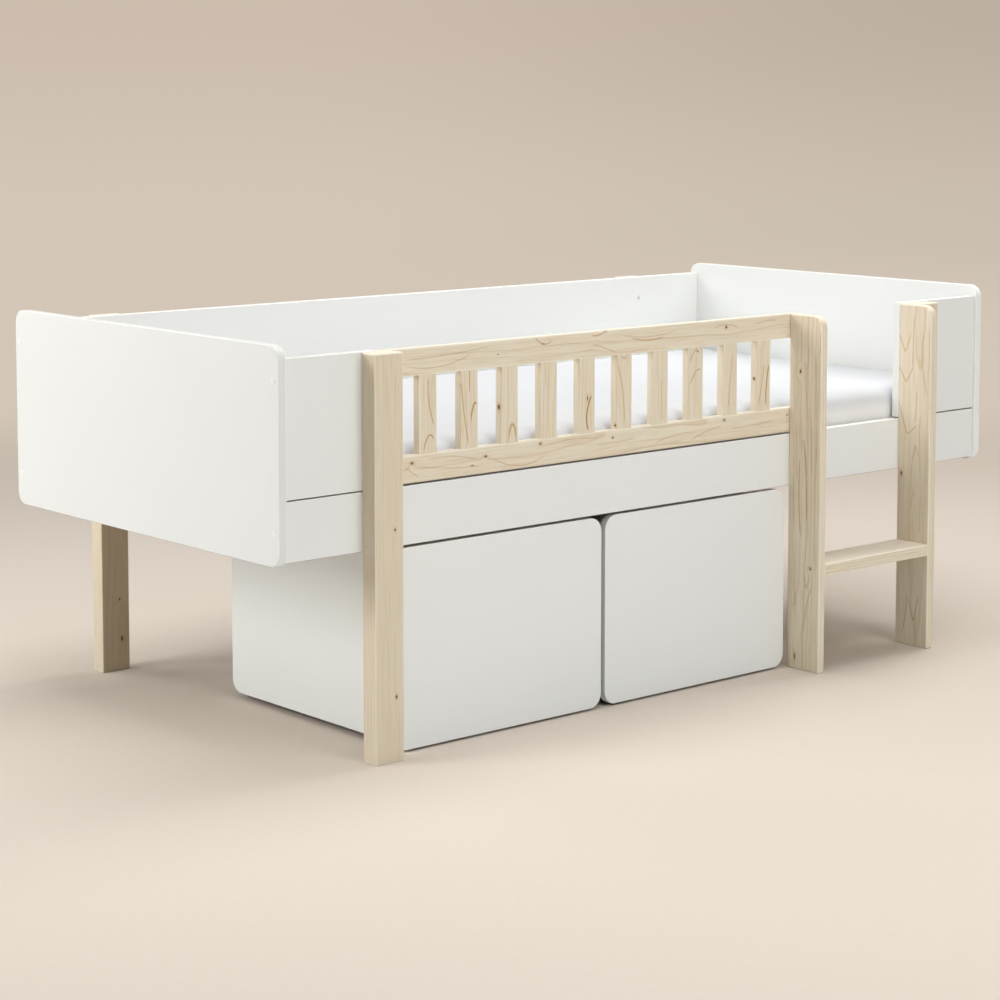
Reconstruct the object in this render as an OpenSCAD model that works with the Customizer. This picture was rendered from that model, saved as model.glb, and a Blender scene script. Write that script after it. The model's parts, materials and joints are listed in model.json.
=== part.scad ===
// Low cabin bed: white lacquered panels on pine legs, a pine guard rail with
// balusters, a two-stile ladder with one tread, a slatted base with its mattress,
// and two storage boxes that roll out from under the bed.
// Millimetres. X runs along the bed, -Y is the ladder side, Z is up.
// The origin is the middle of the footprint, on the floor.

/* [Sleeping space] */
// Length of the mattress
mattress_l = 2000; // [1900:10:2200]
// Width of the mattress
mattress_w = 900; // [700:10:1200]
// Height of the mattress at its rim
mattress_h = 129; // [90:1:150]
// Rise of the mattress from its rim to its middle
mattress_crown = 6; // [1:1:15]
// Radius of the mattress corners seen from above
mattress_corner_r = 60; // [30:1:120]
// Radius of the soft edge round the top and the underside
mattress_edge_r = 30; // [10:1:40]
// How far the mattress sides draw in between the corners
mattress_pull = 5; // [0:1:12]
// Air between the mattress and each end panel
end_clearance = 6; // [2:1:20]
// Air between the mattress and each side board
side_clearance = 2; // [1.5:0.5:15]

/* [White panels] */
// Thickness of the side rails and side boards
board_t = 19; // [16:1:25]
// Thickness of the end panels
end_panel_t = 19; // [16:1:30]
// Height of a side rail
rail_h = 116; // [100:1:150]
// Floor to the underside of the side rails
rail_z = 410; // [385:1:600]
// Shadow gap between a side rail and the board above it
seam = 2; // [1:0.5:4]
// Height of the side boards above the rails
upper_h = 267; // [200:1:360]
// How far an end panel stands out past the side boards
end_overhang = 7; // [0:1:20]
// How far an end panel rises above the side boards
end_rise = 25; // [0:1:60]
// How far an end panel hangs below the side rails
end_drop = 7; // [0:1:30]
// Radius of the end panels' corners
end_corner_r = 28; // [10:1:60]
// Easing along the edges of every white panel
panel_ease = 1.5; // [0.5:0.5:2]

/* [Legs] */
// Width of a leg along the bed
leg_w = 69; // [56:1:90]
// Thickness of a leg
leg_t = 40; // [28:1:60]
// Boards' upper edge down to the tops of the legs, the stiles and the guard rail
top_step = 2; // [0:1:20]
// End panel's outer face to the nearest leg
leg_inset = 200; // [120:5:260]
// Easing along the edges of the legs, the tread and the slats
wood_ease = 2; // [0.5:0.5:3]
// Joint between the board and the guard rail behind the left leg
butt_joint = 1; // [0.5:0.5:3]

/* [Guard rail] */
// Thickness of the guard rail
guard_t = 18; // [16:1:20]
// Gap between the side rail and the guard rail
guard_lift = 4; // [2:1:10]
// Height of its top and bottom rails
guard_rail_h = 54; // [40:1:70]
// Number of balusters
baluster_count = 10; // [6:1:12]
// Width of a baluster
baluster_w = 43; // [30:1:50]
// Length of the tenons on the balusters
tenon_l = 12; // [8:1:20]
// Thickness of the tenons
tenon_t = 8; // [6:1:10]
// Shoulder at each side of a tenon
tenon_shoulder = 5; // [3:1:8]
// Play of a tenon in its mortise, on each side
tenon_play = 0.1; // [0.1:0.05:0.3]
// Easing along the edges of the guard rail's pieces, small so that they meet flush
guard_ease = 0.5; // [0.5:0.25:1.5]

/* [Ladder] */
// Depth of a ladder stile, front to back
stile_d = 94; // [80:1:130]
// Thickness of a stile
stile_t = 20; // [18:1:30]
// Radius of a stile's front top corner
stile_corner_r = 28; // [10:1:35]
// Easing along the edges of the stiles
stile_ease = 3; // [1:0.5:4]
// Clear width between the stiles
ladder_clear = 350; // [300:1:420]
// Floor to the top of the tread
tread_z = 244; // [180:1:300]
// Thickness of the tread
tread_t = 26; // [20:1:35]
// Diameter of the dowels that hold the tread
dowel_d = 8; // [6:1:10]
// Length of the dowels
dowel_l = 30; // [24:1:36]
// Depth of the dowels in a stile
dowel_bite = 12; // [8:1:14]
// Dowels to the front and back edges of the tread
dowel_inset = 24; // [15:1:35]
// Play round the dowels
dowel_play = 0.1; // [0.1:0.05:0.2]

/* [Slatted base] */
// Number of slats
slat_count = 14; // [10:1:18]
// Width of a slat
slat_w = 70; // [50:1:90]
// Thickness of a slat
slat_t = 18; // [14:1:22]
// Air between a slat's end and the side rail
slat_end_gap = 3; // [1:0.5:6]
// Height of a ledger
ledger_h = 30; // [24:1:40]
// Depth of a ledger
ledger_d = 28; // [20:1:40]
// Side rail's underside to the ledger's
ledger_lift = 4; // [0:1:20]
// Air between a ledger's end and the end panel
ledger_end_gap = 8; // [2:1:40]
// Width of the webbing that joins the slats
webbing_w = 25; // [20:1:40]
// Thickness of the webbing
webbing_t = 1.2; // [0.8:0.1:2]
// Webbing to the ends of the slats
webbing_inset = 110; // [60:5:200]

/* [Storage boxes] */
// Width of a box front
box_front_w = 544; // [480:1:548]
// Side rail's underside to the upper edge of a box front
box_top_gap = 5; // [3:1:10]
// Thickness of a box front
box_front_t = 19; // [16:1:25]
// Floor to the lower edge of a box front
box_floor_gap = 4; // [3:1:7]
// Gap between the two box fronts
box_gap = 11; // [5:1:24]
// Depth of a box from its front face to the back of its sides
box_depth = 590; // [450:1:850]
// Radius of the box fronts' corners and of the sides' back corners
box_corner_r = 30; // [15:1:50]
// Thickness of the box sides
box_side_t = 16; // [12:1:19]
// How far the sides stand in from the ends of the front
box_side_inset = 22; // [8:1:40]
// How far the sides hang above the front's lower edge
box_side_lift = 7; // [2:1:20]
// Upper edge of a box front down to the upper edge of the sides
box_side_drop = 20; // [10:1:60]
// Thickness of the box back
box_back_t = 16; // [12:1:19]
// How far the back stands in from the back edge of the sides
box_back_inset = 12; // [6:1:30]
// How far the back stays clear of the sides' lower and upper edges
box_back_margin = 10; // [8:1:30]
// Thickness of the box base
box_base_t = 12; // [9:1:19]
// Diameter of the dowels that hold the sides to the base and the back
box_dowel_d = 6; // [4:1:8]
// Length of those dowels
box_dowel_l = 26; // [20:1:30]
// Depth of those dowels in a side
box_dowel_bite = 9; // [6:1:10]

/* [Castors] */
// Diameter of a wheel
wheel_d = 40; // [34:1:50]
// Width of a wheel
wheel_w = 18; // [14:1:24]
// Diameter of an axle
axle_d = 6; // [5:0.5:8]
// Running clearance round an axle
axle_play = 0.08; // [0.05:0.01:0.1]
// Thickness of the castor fork's sheet steel
fork_t = 2; // [1.5:0.5:3]
// Air between a wheel and the fork's cheeks
wheel_side_gap = 1; // [0.5:0.5:3]
// Air between a wheel and the fork's plate
wheel_top_gap = 3; // [2:0.5:8]
// Length of the fork's plate along the bed
fork_plate_l = 52; // [46:1:70]
// Depth of the fork's plate
fork_plate_d = 40; // [34:1:60]
// Fork's middle to the outer face of the box side
castor_inset = 60; // [50:1:100]
// Wheel's middle to the box front, and to the back of the sides
castor_end_inset = 62; // [56:1:120]

/* [Fixings] */
// Diameter of the connector bolts
bolt_d = 6; // [5:1:8]
// Diameter of their flat heads
bolt_head_d = 13; // [12:0.5:16]
// Height of their flat heads
bolt_head_h = 2.5; // [2:0.5:3.5]
// Depth of the sleeve nuts in the legs and stiles
sleeve_l = 15; // [12:1:18]
// Outer diameter of the sleeve nuts
sleeve_d = 10; // [9:0.5:11]
// Diameter of the panel screws
panel_screw_d = 6; // [5:0.5:7]
// Length of the panel screws
panel_screw_l = 50; // [40:1:60]
// Diameter of the panel screws' heads
panel_screw_head_d = 10; // [8:0.5:11]
// Height of the panel screws' heads
panel_screw_head_h = 4; // [3:0.5:5]
// Diameter of the caps over the screws in the end panels
cap_d = 13; // [12:0.5:16]
// How far the caps stand proud
cap_h = 1; // [0.5:0.5:2]
// Upper cap to the upper edge of the side board
cap_drop = 41; // [25:1:80]
// Seam to the lower bolts of the side boards
board_bolt_low = 70; // [50:1:90]
// Upper edge of the side boards down to their upper bolts
board_bolt_top = 55; // [40:1:80]
// Upper edge of a side rail down to its bolts
rail_bolt_drop = 36; // [25:1:60]
// Diameter of the small wood screws
wood_screw_d = 4; // [3.5:0.5:5]
// Length of the ledger screws
ledger_screw_l = 40; // [36:1:42]
// Outermost ledger screws to the ends of the ledger
ledger_screw_inset = 60; // [40:5:150]
// Number of screws in each ledger
ledger_screw_count = 7; // [4:1:10]
// Length of the slat screws
slat_screw_l = 35; // [25:1:40]
// Play round every screw and bolt
screw_play = 0.1; // [0.1:0.05:0.2]

/* [Hidden] */

$fn = 32;
WHITE = "#f2f2ee";
PINE = "#d9c6a0";
BEECH = "#cda77a";
STEEL = "#a9abad";
NYLON = "#3a3b3d";
SHEET = "#f6f6f6";
WEBBING = "#8d8d88";
eps = 0.01;
contact_air = 0.3;      // air between a soft piece and what carries it

// Plan of the bed
inner_l = mattress_l + 2 * end_clearance;
inner_w = mattress_w + 2 * side_clearance;
total_l = inner_l + 2 * end_panel_t;
frame_w = inner_w + 2 * board_t;
total_d = stile_d + frame_w + leg_t;
front_y = -total_d / 2 + stile_d;       // outer face of the front boards
back_y = front_y + frame_w;             // outer face of the back boards
inner_x = inner_l / 2;
middle_y = (front_y + back_y) / 2;

// Heights
rail_top = rail_z + rail_h;
board_z = rail_top + seam;
board_top = board_z + upper_h;
posts_top = board_top - top_step;       // legs, stiles and guard rail end here
guard_z = rail_top + guard_lift;
end_z = rail_z - end_drop;
end_h = board_top + end_rise - end_z;
ledger_z = rail_z + ledger_lift;
slat_z = ledger_z + ledger_h;
webbing_z = slat_z + slat_t;
mattress_z = webbing_z + webbing_t + contact_air;

// Places along the bed
leg_left_x = -total_l / 2 + leg_inset;
leg_right_x = total_l / 2 - leg_inset - leg_w;
stile_right_x = leg_right_x - stile_t;
stile_left_x = stile_right_x - ladder_clear - stile_t;
leg_left_mid = leg_left_x + leg_w / 2;
leg_right_mid = leg_right_x + leg_w / 2;
butt_left = leg_left_mid - butt_joint / 2;
butt_right = leg_left_mid + butt_joint / 2;
guard_end_x = stile_left_x + stile_t;
guard_l = guard_end_x - butt_right;
baluster_pitch = (stile_left_x - butt_right) / (baluster_count + 1);
stile_left_mid = stile_left_x + stile_t / 2;
stile_right_mid = stile_right_x + stile_t / 2;

// Storage boxes, centred between the left leg and the ladder
bay_mid = (leg_left_x + leg_w + stile_left_x) / 2;
box_left_x = bay_mid - box_gap / 2 - box_front_w;
box_right_x = bay_mid + box_gap / 2;
box_body_y = front_y + box_front_t;
box_body_d = box_depth - box_front_t;
box_back_y = front_y + box_depth;
box_front_h = rail_z - box_top_gap - box_floor_gap;
box_side_z = box_floor_gap + box_side_lift;
box_side_h = box_front_h - box_side_lift - box_side_drop;
box_body_w = box_front_w - 2 * box_side_inset;
box_inner_w = box_body_w - 2 * box_side_t;
box_back_panel_y = box_back_y - box_back_inset - box_back_t;
fork_plate_z = wheel_d + wheel_top_gap;
box_base_z = fork_plate_z + fork_t;
fork_gap = wheel_w + 2 * wheel_side_gap;
axle_end_t = 1.5;
fork_eye_r = axle_d / 2 + 5;
castor_xs = [castor_inset, box_body_w - castor_inset];
castor_ys = [box_body_y + castor_end_inset, box_back_y - castor_end_inset];
castors = [for (y = castor_ys, x = castor_xs) [box_side_inset + x, y]];

// Fixings
guard_bolt_zs = [guard_z + guard_rail_h / 2, posts_top - guard_rail_h / 2];
board_bolt_zs = [board_z + board_bolt_low, board_top - board_bolt_top];
rail_bolt_z = rail_top - rail_bolt_drop;
leg_bolt_dx = leg_w / 4;
cap_zs = [rail_z + rail_h / 2, board_top - cap_drop];
cap_ys = [front_y + board_t / 2, back_y - board_t / 2];
bolt_l = board_t + sleeve_l - 3;

// Each frame bolt: [x, z, side], side 1 in front and -1 at the back
rail_bolts = [for (x = [leg_left_mid - leg_bolt_dx, leg_left_mid + leg_bolt_dx,
        leg_right_mid - leg_bolt_dx, leg_right_mid + leg_bolt_dx]) [x, rail_bolt_z]];
ladder_bolts = [for (x = [stile_left_mid, stile_right_mid]) [x, rail_bolt_z]];
board_left_bolts = [for (z = board_bolt_zs) [leg_left_mid - leg_bolt_dx, z]];
board_right_bolts = [for (z = board_bolt_zs, x = [stile_right_mid, leg_right_mid]) [x, z]];
back_board_bolts = [for (z = board_bolt_zs, x = [leg_left_mid, leg_right_mid]) [x, z]];
guard_left_bolts = [for (z = guard_bolt_zs) [leg_left_mid + leg_bolt_dx, z]];
guard_right_bolts = [for (z = guard_bolt_zs) [stile_left_mid, z]];
front_bolts = concat(rail_bolts, ladder_bolts, board_left_bolts, board_right_bolts);
back_bolts = concat(rail_bolts, back_board_bolts);
guard_bolts = concat(guard_left_bolts, guard_right_bolts);

// ---------- Shapes ----------

// Rectangle with rounded corners, low corner at the origin
module round_rect(w, h, r) {
    translate([r, 0]) square([w - 2 * r, h]);
    translate([0, r]) square([w, h - 2 * r]);
    for (x = [r, w - r], y = [r, h - r])
        translate([x, y]) circle(r);
}

// Flat panel in the X-Z plane, thickness along +Y, with corner radius r and eased edges
module panel(w, h, t, r, ease) {
    corner = max(r, ease + 0.5);
    // upright and level bars with eased edges
    translate([0, 0, corner]) linear_extrude(h - 2 * corner) round_rect(w, t, ease);
    translate([corner, 0, 0]) rotate([90, 0, 90])
        linear_extrude(w - 2 * corner) round_rect(t, h, ease);
    // corner discs with the same rims
    for (x = [corner, w - corner], z = [corner, h - corner])
        translate([x, 0, z]) rotate([-90, 0, 0]) rotate_extrude($fn = 64) {
            square([corner - ease, t]);
            translate([0, ease]) square([corner, t - 2 * ease]);
            for (y = [ease, t - ease])
                translate([corner - ease, y]) intersection() {
                    circle(ease);
                    translate([-min(ease, corner - ease), -ease]) square(2 * ease);
                }
        }
}

// The same panel standing in the Y-Z plane, width along +Y and thickness along +X
module panel_yz(w, h, t, r, ease) {
    translate([t, 0, 0]) rotate([0, 0, 90]) panel(w, h, t, r, ease);
}

// Solid bar with all its edges eased, low corner at the origin
module bar(size, ease) {
    intersection() {
        linear_extrude(size.z) round_rect(size.x, size.y, ease);
        rotate([90, 0, 90]) linear_extrude(size.x) round_rect(size.y, size.z, ease);
        translate([0, size.y, 0]) rotate([90, 0, 0])
            linear_extrude(size.y) round_rect(size.x, size.z, ease);
    }
}

// Bore along +Y from the given point
module bore_y(x, y, z, d, l) {
    translate([x, y, z]) rotate([-90, 0, 0]) cylinder(d = d, h = l);
}

// Holes for frame bolts in a board whose inner face is at inner_face; out is the way
// out of the bed along Y, t the board's thickness
module bolt_holes(bolts, inner_face, out, t) {
    for (b = bolts) translate([b.x, inner_face, b.y]) rotate([-90 * out, 0, 0]) {
        translate([0, 0, -1]) cylinder(d = bolt_d + 2 * screw_play, h = t + 2);
        translate([0, 0, -1])
            cylinder(d = bolt_head_d + 4 * screw_play, h = 1 + bolt_head_h + screw_play);
    }
}

// Blind holes for the sleeve nuts in a leg or stile whose joint face is at face
module sleeve_holes(bolts, face, out) {
    for (b = bolts) translate([b.x, face, b.y]) rotate([-90 * out, 0, 0])
        translate([0, 0, -1]) cylinder(d = sleeve_d + 2 * screw_play, h = sleeve_l + 2);
}

// Connector bolt with a hexagon socket, head's top at the origin, shank along +Z
module connector_bolt(l) {
    difference() {
        union() {
            cylinder(d = bolt_head_d, h = bolt_head_h);
            cylinder(d = bolt_d, h = l);
        }
        translate([0, 0, -eps]) cylinder(d = bolt_d * 0.75, h = bolt_d * 0.6, $fn = 6);
    }
}

// Screw with a flat head and a pointed end, head's top at the origin, shank along +Z
module screw(d, l, head_d, head_h) {
    difference() {
        rotate_extrude() polygon([[0, 0], [head_d / 2, 0], [head_d / 2, head_h / 2],
            [d / 2, head_h], [d / 2, l - d], [0, l]]);
        translate([0, 0, -eps]) cylinder(d = d * 0.6, h = head_h * 0.6, $fn = 6);
    }
}

// Hole for such a screw, from one millimetre above its head
module screw_hole(d, l, head_d, head_h) {
    translate([0, 0, -1]) cylinder(d = head_d + 2 * screw_play, h = 1 + head_h + screw_play);
    cylinder(d = d + 2 * screw_play, h = l + 1);
}

// ---------- End panels ----------

// All panel screws of one end, pointing into the bed along +X from the outer face
module at_end_screws() {
    for (y = cap_ys, z = cap_zs) translate([0, y, z]) rotate([0, 90, 0]) children();
}

module end_panel() {
    y0 = front_y - end_overhang;
    w = frame_w + 2 * end_overhang;
    difference() {
        translate([0, y0, end_z]) panel_yz(w, end_h, end_panel_t, end_corner_r, panel_ease);
        at_end_screws() screw_hole(panel_screw_d, panel_screw_l, panel_screw_head_d,
            panel_screw_head_h);
    }
}

module left_end_panel() color(WHITE) translate([-total_l / 2, 0, 0]) end_panel();
module right_end_panel() color(WHITE) translate([total_l / 2, 0, 0]) mirror([1, 0, 0]) end_panel();

module both_ends() {
    translate([-total_l / 2, 0, 0]) children();
    translate([total_l / 2, 0, 0]) mirror([1, 0, 0]) children();
}

module end_panel_screws() color(STEEL) both_ends() at_end_screws()
    screw(panel_screw_d, panel_screw_l, panel_screw_head_d, panel_screw_head_h);

// Caps over the screw heads: a flat button with a short stem in the hexagon socket
module screw_caps() color(WHITE) both_ends() at_end_screws() {
    stem_d = panel_screw_d * 0.4;
    rotate_extrude() {
        translate([0, -cap_h]) square([cap_d / 2 - cap_h, cap_h]);
        translate([cap_d / 2 - cap_h, 0]) intersection() {
            circle(cap_h);
            translate([0, -cap_h]) square(cap_h);
        }
        square([stem_d / 2, panel_screw_head_h * 0.5]);
    }
}

// ---------- Side rails and boards ----------

// Board along X between x0 and x1, with the holes for the panel screws in its ends
module side_board(x0, x1, y0, z0, h) {
    difference() {
        translate([x0, y0, z0]) panel(x1 - x0, h, board_t, 0, panel_ease);
        both_ends() at_end_screws() screw_hole(panel_screw_d, panel_screw_l,
            panel_screw_head_d, panel_screw_head_h);
    }
}

// Places of the ledger screws along X
ledger_l = inner_l - 2 * ledger_end_gap;
ledger_screw_xs = [for (i = [0:ledger_screw_count - 1])
    -ledger_l / 2 + ledger_screw_inset
        + i * (ledger_l - 2 * ledger_screw_inset) / (ledger_screw_count - 1)];

// Ledger screws of one side, from the ledger's inner face into the rail
module at_ledger_screws(inner_face, out) {
    for (x = ledger_screw_xs)
        translate([x, inner_face - out * ledger_d, ledger_z + ledger_h / 2])
            rotate([-90 * out, 0, 0]) children();
}

module ledger_screw_hole() screw_hole(wood_screw_d, ledger_screw_l, 2 * wood_screw_d,
    wood_screw_d * 0.6);

front_inner = front_y + board_t;
back_inner = back_y - board_t;

module front_side_rail() color(WHITE) difference() {
    side_board(-inner_x, inner_x, front_y, rail_z, rail_h);
    bolt_holes(concat(rail_bolts, ladder_bolts), front_inner, -1, board_t);
    at_ledger_screws(front_inner, -1) ledger_screw_hole();
}

module back_side_rail() color(WHITE) difference() {
    side_board(-inner_x, inner_x, back_inner, rail_z, rail_h);
    bolt_holes(rail_bolts, back_inner, 1, board_t);
    at_ledger_screws(back_inner, 1) ledger_screw_hole();
}

module front_board_left() color(WHITE) difference() {
    side_board(-inner_x, butt_left, front_y, board_z, upper_h);
    bolt_holes(board_left_bolts, front_inner, -1, board_t);
}

module front_board_right() color(WHITE) difference() {
    side_board(stile_right_x, inner_x, front_y, board_z, upper_h);
    bolt_holes(board_right_bolts, front_inner, -1, board_t);
}

module back_board() color(WHITE) difference() {
    side_board(-inner_x, inner_x, back_inner, board_z, upper_h);
    bolt_holes(back_board_bolts, back_inner, 1, board_t);
}

// ---------- Legs ----------

module leg(x, y) translate([x, y, 0]) bar([leg_w, leg_t, posts_top], wood_ease);

module leg_front_left() color(PINE) difference() {
    leg(leg_left_x, front_y - leg_t);
    sleeve_holes(concat([rail_bolts[0], rail_bolts[1]], board_left_bolts, guard_left_bolts),
        front_y, -1);
}

module leg_front_right() color(PINE) difference() {
    leg(leg_right_x, front_y - leg_t);
    sleeve_holes(concat([rail_bolts[2], rail_bolts[3]],
        [board_right_bolts[1], board_right_bolts[3]]), front_y, -1);
}

module leg_back_left() color(PINE) difference() {
    leg(leg_left_x, back_y);
    sleeve_holes([rail_bolts[0], rail_bolts[1], back_board_bolts[0], back_board_bolts[2]],
        back_y, 1);
}

module leg_back_right() color(PINE) difference() {
    leg(leg_right_x, back_y);
    sleeve_holes([rail_bolts[2], rail_bolts[3], back_board_bolts[1], back_board_bolts[3]],
        back_y, 1);
}

// ---------- Guard rail ----------

upright_h = posts_top - guard_z - 2 * guard_rail_h;

// Left edges of the uprights: the end post behind the leg, then the balusters. The last
// gap ends at the ladder's stile
upright_xs = [for (i = [0:baluster_count]) butt_right + i * baluster_pitch];

// Tenon of an upright, its root at z, pointing up or down
module tenon(x, z, up, play) {
    translate([x + tenon_shoulder - play, front_y + (guard_t - tenon_t) / 2 - play,
            up ? z - eps : z - tenon_l - (play > 0 ? 0.5 : 0)])
        cube([baluster_w - 2 * tenon_shoulder + 2 * play, tenon_t + 2 * play,
            tenon_l + eps + (play > 0 ? 0.5 : 0)]);
}

module upright(x) {
    translate([x, front_y, guard_z + guard_rail_h])
        linear_extrude(upright_h) round_rect(baluster_w, guard_t, guard_ease);
    tenon(x, posts_top - guard_rail_h, true, 0);
    tenon(x, guard_z + guard_rail_h, false, 0);
}

module guard_rail(z) {
    difference() {
        translate([butt_right, front_y, z]) bar([guard_l, guard_t, guard_rail_h], guard_ease);
        for (x = upright_xs) {
            tenon(x, posts_top - guard_rail_h, true, tenon_play);
            tenon(x, guard_z + guard_rail_h, false, tenon_play);
        }
        bolt_holes(guard_bolts, front_y + guard_t, -1, guard_t);
    }
}

module guard_top_rail() color(PINE) guard_rail(posts_top - guard_rail_h);
module guard_bottom_rail() color(PINE) guard_rail(guard_z);

module guard_end_post() color(PINE) upright(upright_xs[0]);
module guard_balusters() color(PINE) for (i = [1:baluster_count]) upright(upright_xs[i]);

// ---------- Ladder ----------

stile_y = front_y - stile_d;
dowel_ys = [stile_y + dowel_inset, front_y - dowel_inset];
dowel_z = tread_z - tread_t / 2;

// Stile outline: rounded at the front top corner only
module stile(x) {
    square_h = posts_top - stile_corner_r - 1;
    back_w = stile_d - stile_corner_r - 1;
    translate([x, stile_y, 0]) {
        panel_yz(stile_d, posts_top, stile_t, stile_corner_r, stile_ease);
        panel_yz(stile_d, square_h, stile_t, 0, stile_ease);
        translate([0, stile_d - back_w, 0]) panel_yz(back_w, posts_top, stile_t, 0, stile_ease);
    }
}

// Dowels at one end of the tread: x is the stile's inner face, way points into the tread
module at_tread_dowels(x, way) {
    for (y = dowel_ys) translate([x - way * dowel_bite, y, dowel_z])
        rotate([0, 90 * way, 0]) children();
}

// Blind hole for a dowel of diameter d and length l, with air at both its ends
module dowel_hole(d, l) translate([0, 0, -0.5])
    cylinder(d = d + 2 * dowel_play, h = l + 1);

module tread_dowel_hole() dowel_hole(dowel_d, dowel_l);

tread_x = stile_left_x + stile_t;

module ladder_stile_left() color(PINE) difference() {
    stile(stile_left_x);
    at_tread_dowels(tread_x, 1) tread_dowel_hole();
    sleeve_holes(concat([ladder_bolts[0]], guard_right_bolts), front_y, -1);
}

module ladder_stile_right() color(PINE) difference() {
    stile(stile_right_x);
    at_tread_dowels(stile_right_x, -1) tread_dowel_hole();
    sleeve_holes([ladder_bolts[1], board_right_bolts[0], board_right_bolts[2]], front_y, -1);
}

module ladder_tread() color(PINE) difference() {
    translate([tread_x, stile_y, tread_z - tread_t])
        bar([ladder_clear, stile_d, tread_t], wood_ease);
    at_tread_dowels(tread_x, 1) tread_dowel_hole();
    at_tread_dowels(stile_right_x, -1) tread_dowel_hole();
}

module tread_dowels() color(BEECH) {
    at_tread_dowels(tread_x, 1) cylinder(d = dowel_d, h = dowel_l);
    at_tread_dowels(stile_right_x, -1) cylinder(d = dowel_d, h = dowel_l);
}

// ---------- Slatted base ----------

slat_l = inner_w - 2 * slat_end_gap;
slat_pitch = (ledger_l - slat_w) / (slat_count - 1);
slat_xs = [for (i = [0:slat_count - 1]) (i - (slat_count - 1) / 2) * slat_pitch];
slat_screw_ys = [front_inner + ledger_d / 2, back_inner - ledger_d / 2];

// Screws that hold the first and last slat to the ledgers
module at_slat_screws() {
    for (x = [slat_xs[0], slat_xs[slat_count - 1]], y = slat_screw_ys)
        translate([x + slat_w / 4, y, webbing_z]) rotate([180, 0, 0]) children();
}

module slat_screw_hole() screw_hole(wood_screw_d, slat_screw_l, 2 * wood_screw_d,
    wood_screw_d * 0.6);

module ledger(y) translate([-ledger_l / 2, y, ledger_z])
    bar([ledger_l, ledger_d, ledger_h], panel_ease);

module ledger_front() color(PINE) difference() {
    ledger(front_inner);
    at_ledger_screws(front_inner, -1) ledger_screw_hole();
    at_slat_screws() slat_screw_hole();
}

module ledger_back() color(PINE) difference() {
    ledger(back_inner - ledger_d);
    at_ledger_screws(back_inner, 1) ledger_screw_hole();
    at_slat_screws() slat_screw_hole();
}

module ledger_screws() color(STEEL) {
    at_ledger_screws(front_inner, -1)
        screw(wood_screw_d, ledger_screw_l, 2 * wood_screw_d, wood_screw_d * 0.6);
    at_ledger_screws(back_inner, 1)
        screw(wood_screw_d, ledger_screw_l, 2 * wood_screw_d, wood_screw_d * 0.6);
}

module bed_slats() color(PINE) difference() {
    for (x = slat_xs) translate([x - slat_w / 2, middle_y - slat_l / 2, slat_z])
        bar([slat_w, slat_l, slat_t], wood_ease);
    at_slat_screws() slat_screw_hole();
}

module slat_screws() color(STEEL) at_slat_screws()
    screw(wood_screw_d, slat_screw_l, 2 * wood_screw_d, wood_screw_d * 0.6);

module slat_webbing() color(WEBBING) {
    web_l = slat_xs[slat_count - 1] - slat_xs[0] + slat_w * 0.8;
    for (y = [middle_y - slat_l / 2 + webbing_inset,
            middle_y + slat_l / 2 - webbing_inset - webbing_w])
        translate([-web_l / 2, y, webbing_z]) cube([web_l, webbing_w, webbing_t]);
}

// ---------- Mattress ----------

corner_steps = 6;
long_steps = 12;
short_steps = 6;

// Point u (0 to 1) of a quarter turn about [cx, cy] from angle a
function arc_points(cx, cy, r, a) =
    [for (i = [0:corner_steps]) [cx + r * cos(a + 90 * i / corner_steps),
        cy + r * sin(a + 90 * i / corner_steps)]];
function between(p, q, n) = [for (i = [1:n - 1]) p + (q - p) * i / n];

// Rounded rectangle of half-length a and half-width b, anticlockwise from +X
function outline(a, b, r) = concat(
    arc_points(a - r, b - r, r, 0),
    between([a - r, b], [-a + r, b], long_steps),
    arc_points(-a + r, b - r, r, 90),
    between([-a, b - r], [-a, -b + r], short_steps),
    arc_points(-a + r, -b + r, r, 180),
    between([-a + r, -b], [a - r, -b], long_steps),
    arc_points(a - r, -b + r, r, 270),
    between([a, -b + r], [a, b - r], short_steps));

// Draws a point in towards the middle of each side, by pull at most
function drawn_in(p, a, b, pull) =
    [p.x * (1 - pull / a * (1 - pow(p.y / b, 2))), p.y * (1 - pull / b * (1 - pow(p.x / a, 2)))];

// Rings from the underside round the edge to the top: [inset, height, pull]
edge_steps = 4;
function soft_rings(h, r, crown, half_w) = concat(
    [[half_w * 0.9, 0, 0]],
    [for (i = [0:edge_steps]) let (a = 90 * i / edge_steps)
        [r * (1 - sin(a)), r * (1 - cos(a)), mattress_pull * sin(a)]],
    [[0, h / 2, mattress_pull]],
    [for (i = [edge_steps:-1:0]) let (a = 90 * i / edge_steps)
        [r * (1 - sin(a)), h - r * (1 - cos(a)), mattress_pull * sin(a)]],
    [for (u = [0.2, 0.45, 0.7, 0.95]) [r + (half_w - r) * u, h + crown * sin(90 * u), 0]]);

module soft_block(l, w, h, corner_r, edge_r, crown) {
    rings = soft_rings(h, edge_r, crown, w / 2);
    n = len(outline(l / 2, w / 2, corner_r));
    points = [for (ring = rings) let (a = l / 2 - ring[0], b = w / 2 - ring[0])
        for (p = outline(a, b, max(corner_r - ring[0], b * 0.2)))
            let (q = drawn_in(p, a, b, ring[2])) [q.x, q.y, ring[1]]];
    last = len(rings) - 1;
    sides = [for (k = [0:last - 1], i = [0:n - 1]) let (j = (i + 1) % n)
        each [[k * n + i, (k + 1) * n + j, k * n + j], [k * n + i, (k + 1) * n + i,
            (k + 1) * n + j]]];
    bottom = [[for (i = [0:n - 1]) i]];
    top = [[for (i = [n - 1:-1:0]) last * n + i]];
    polyhedron(points, concat(bottom, sides, top));
}

module mattress() color(SHEET) translate([0, middle_y, mattress_z])
    soft_block(mattress_l, mattress_w, mattress_h, mattress_corner_r, mattress_edge_r,
        mattress_crown);

// ---------- Frame bolts ----------

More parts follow.
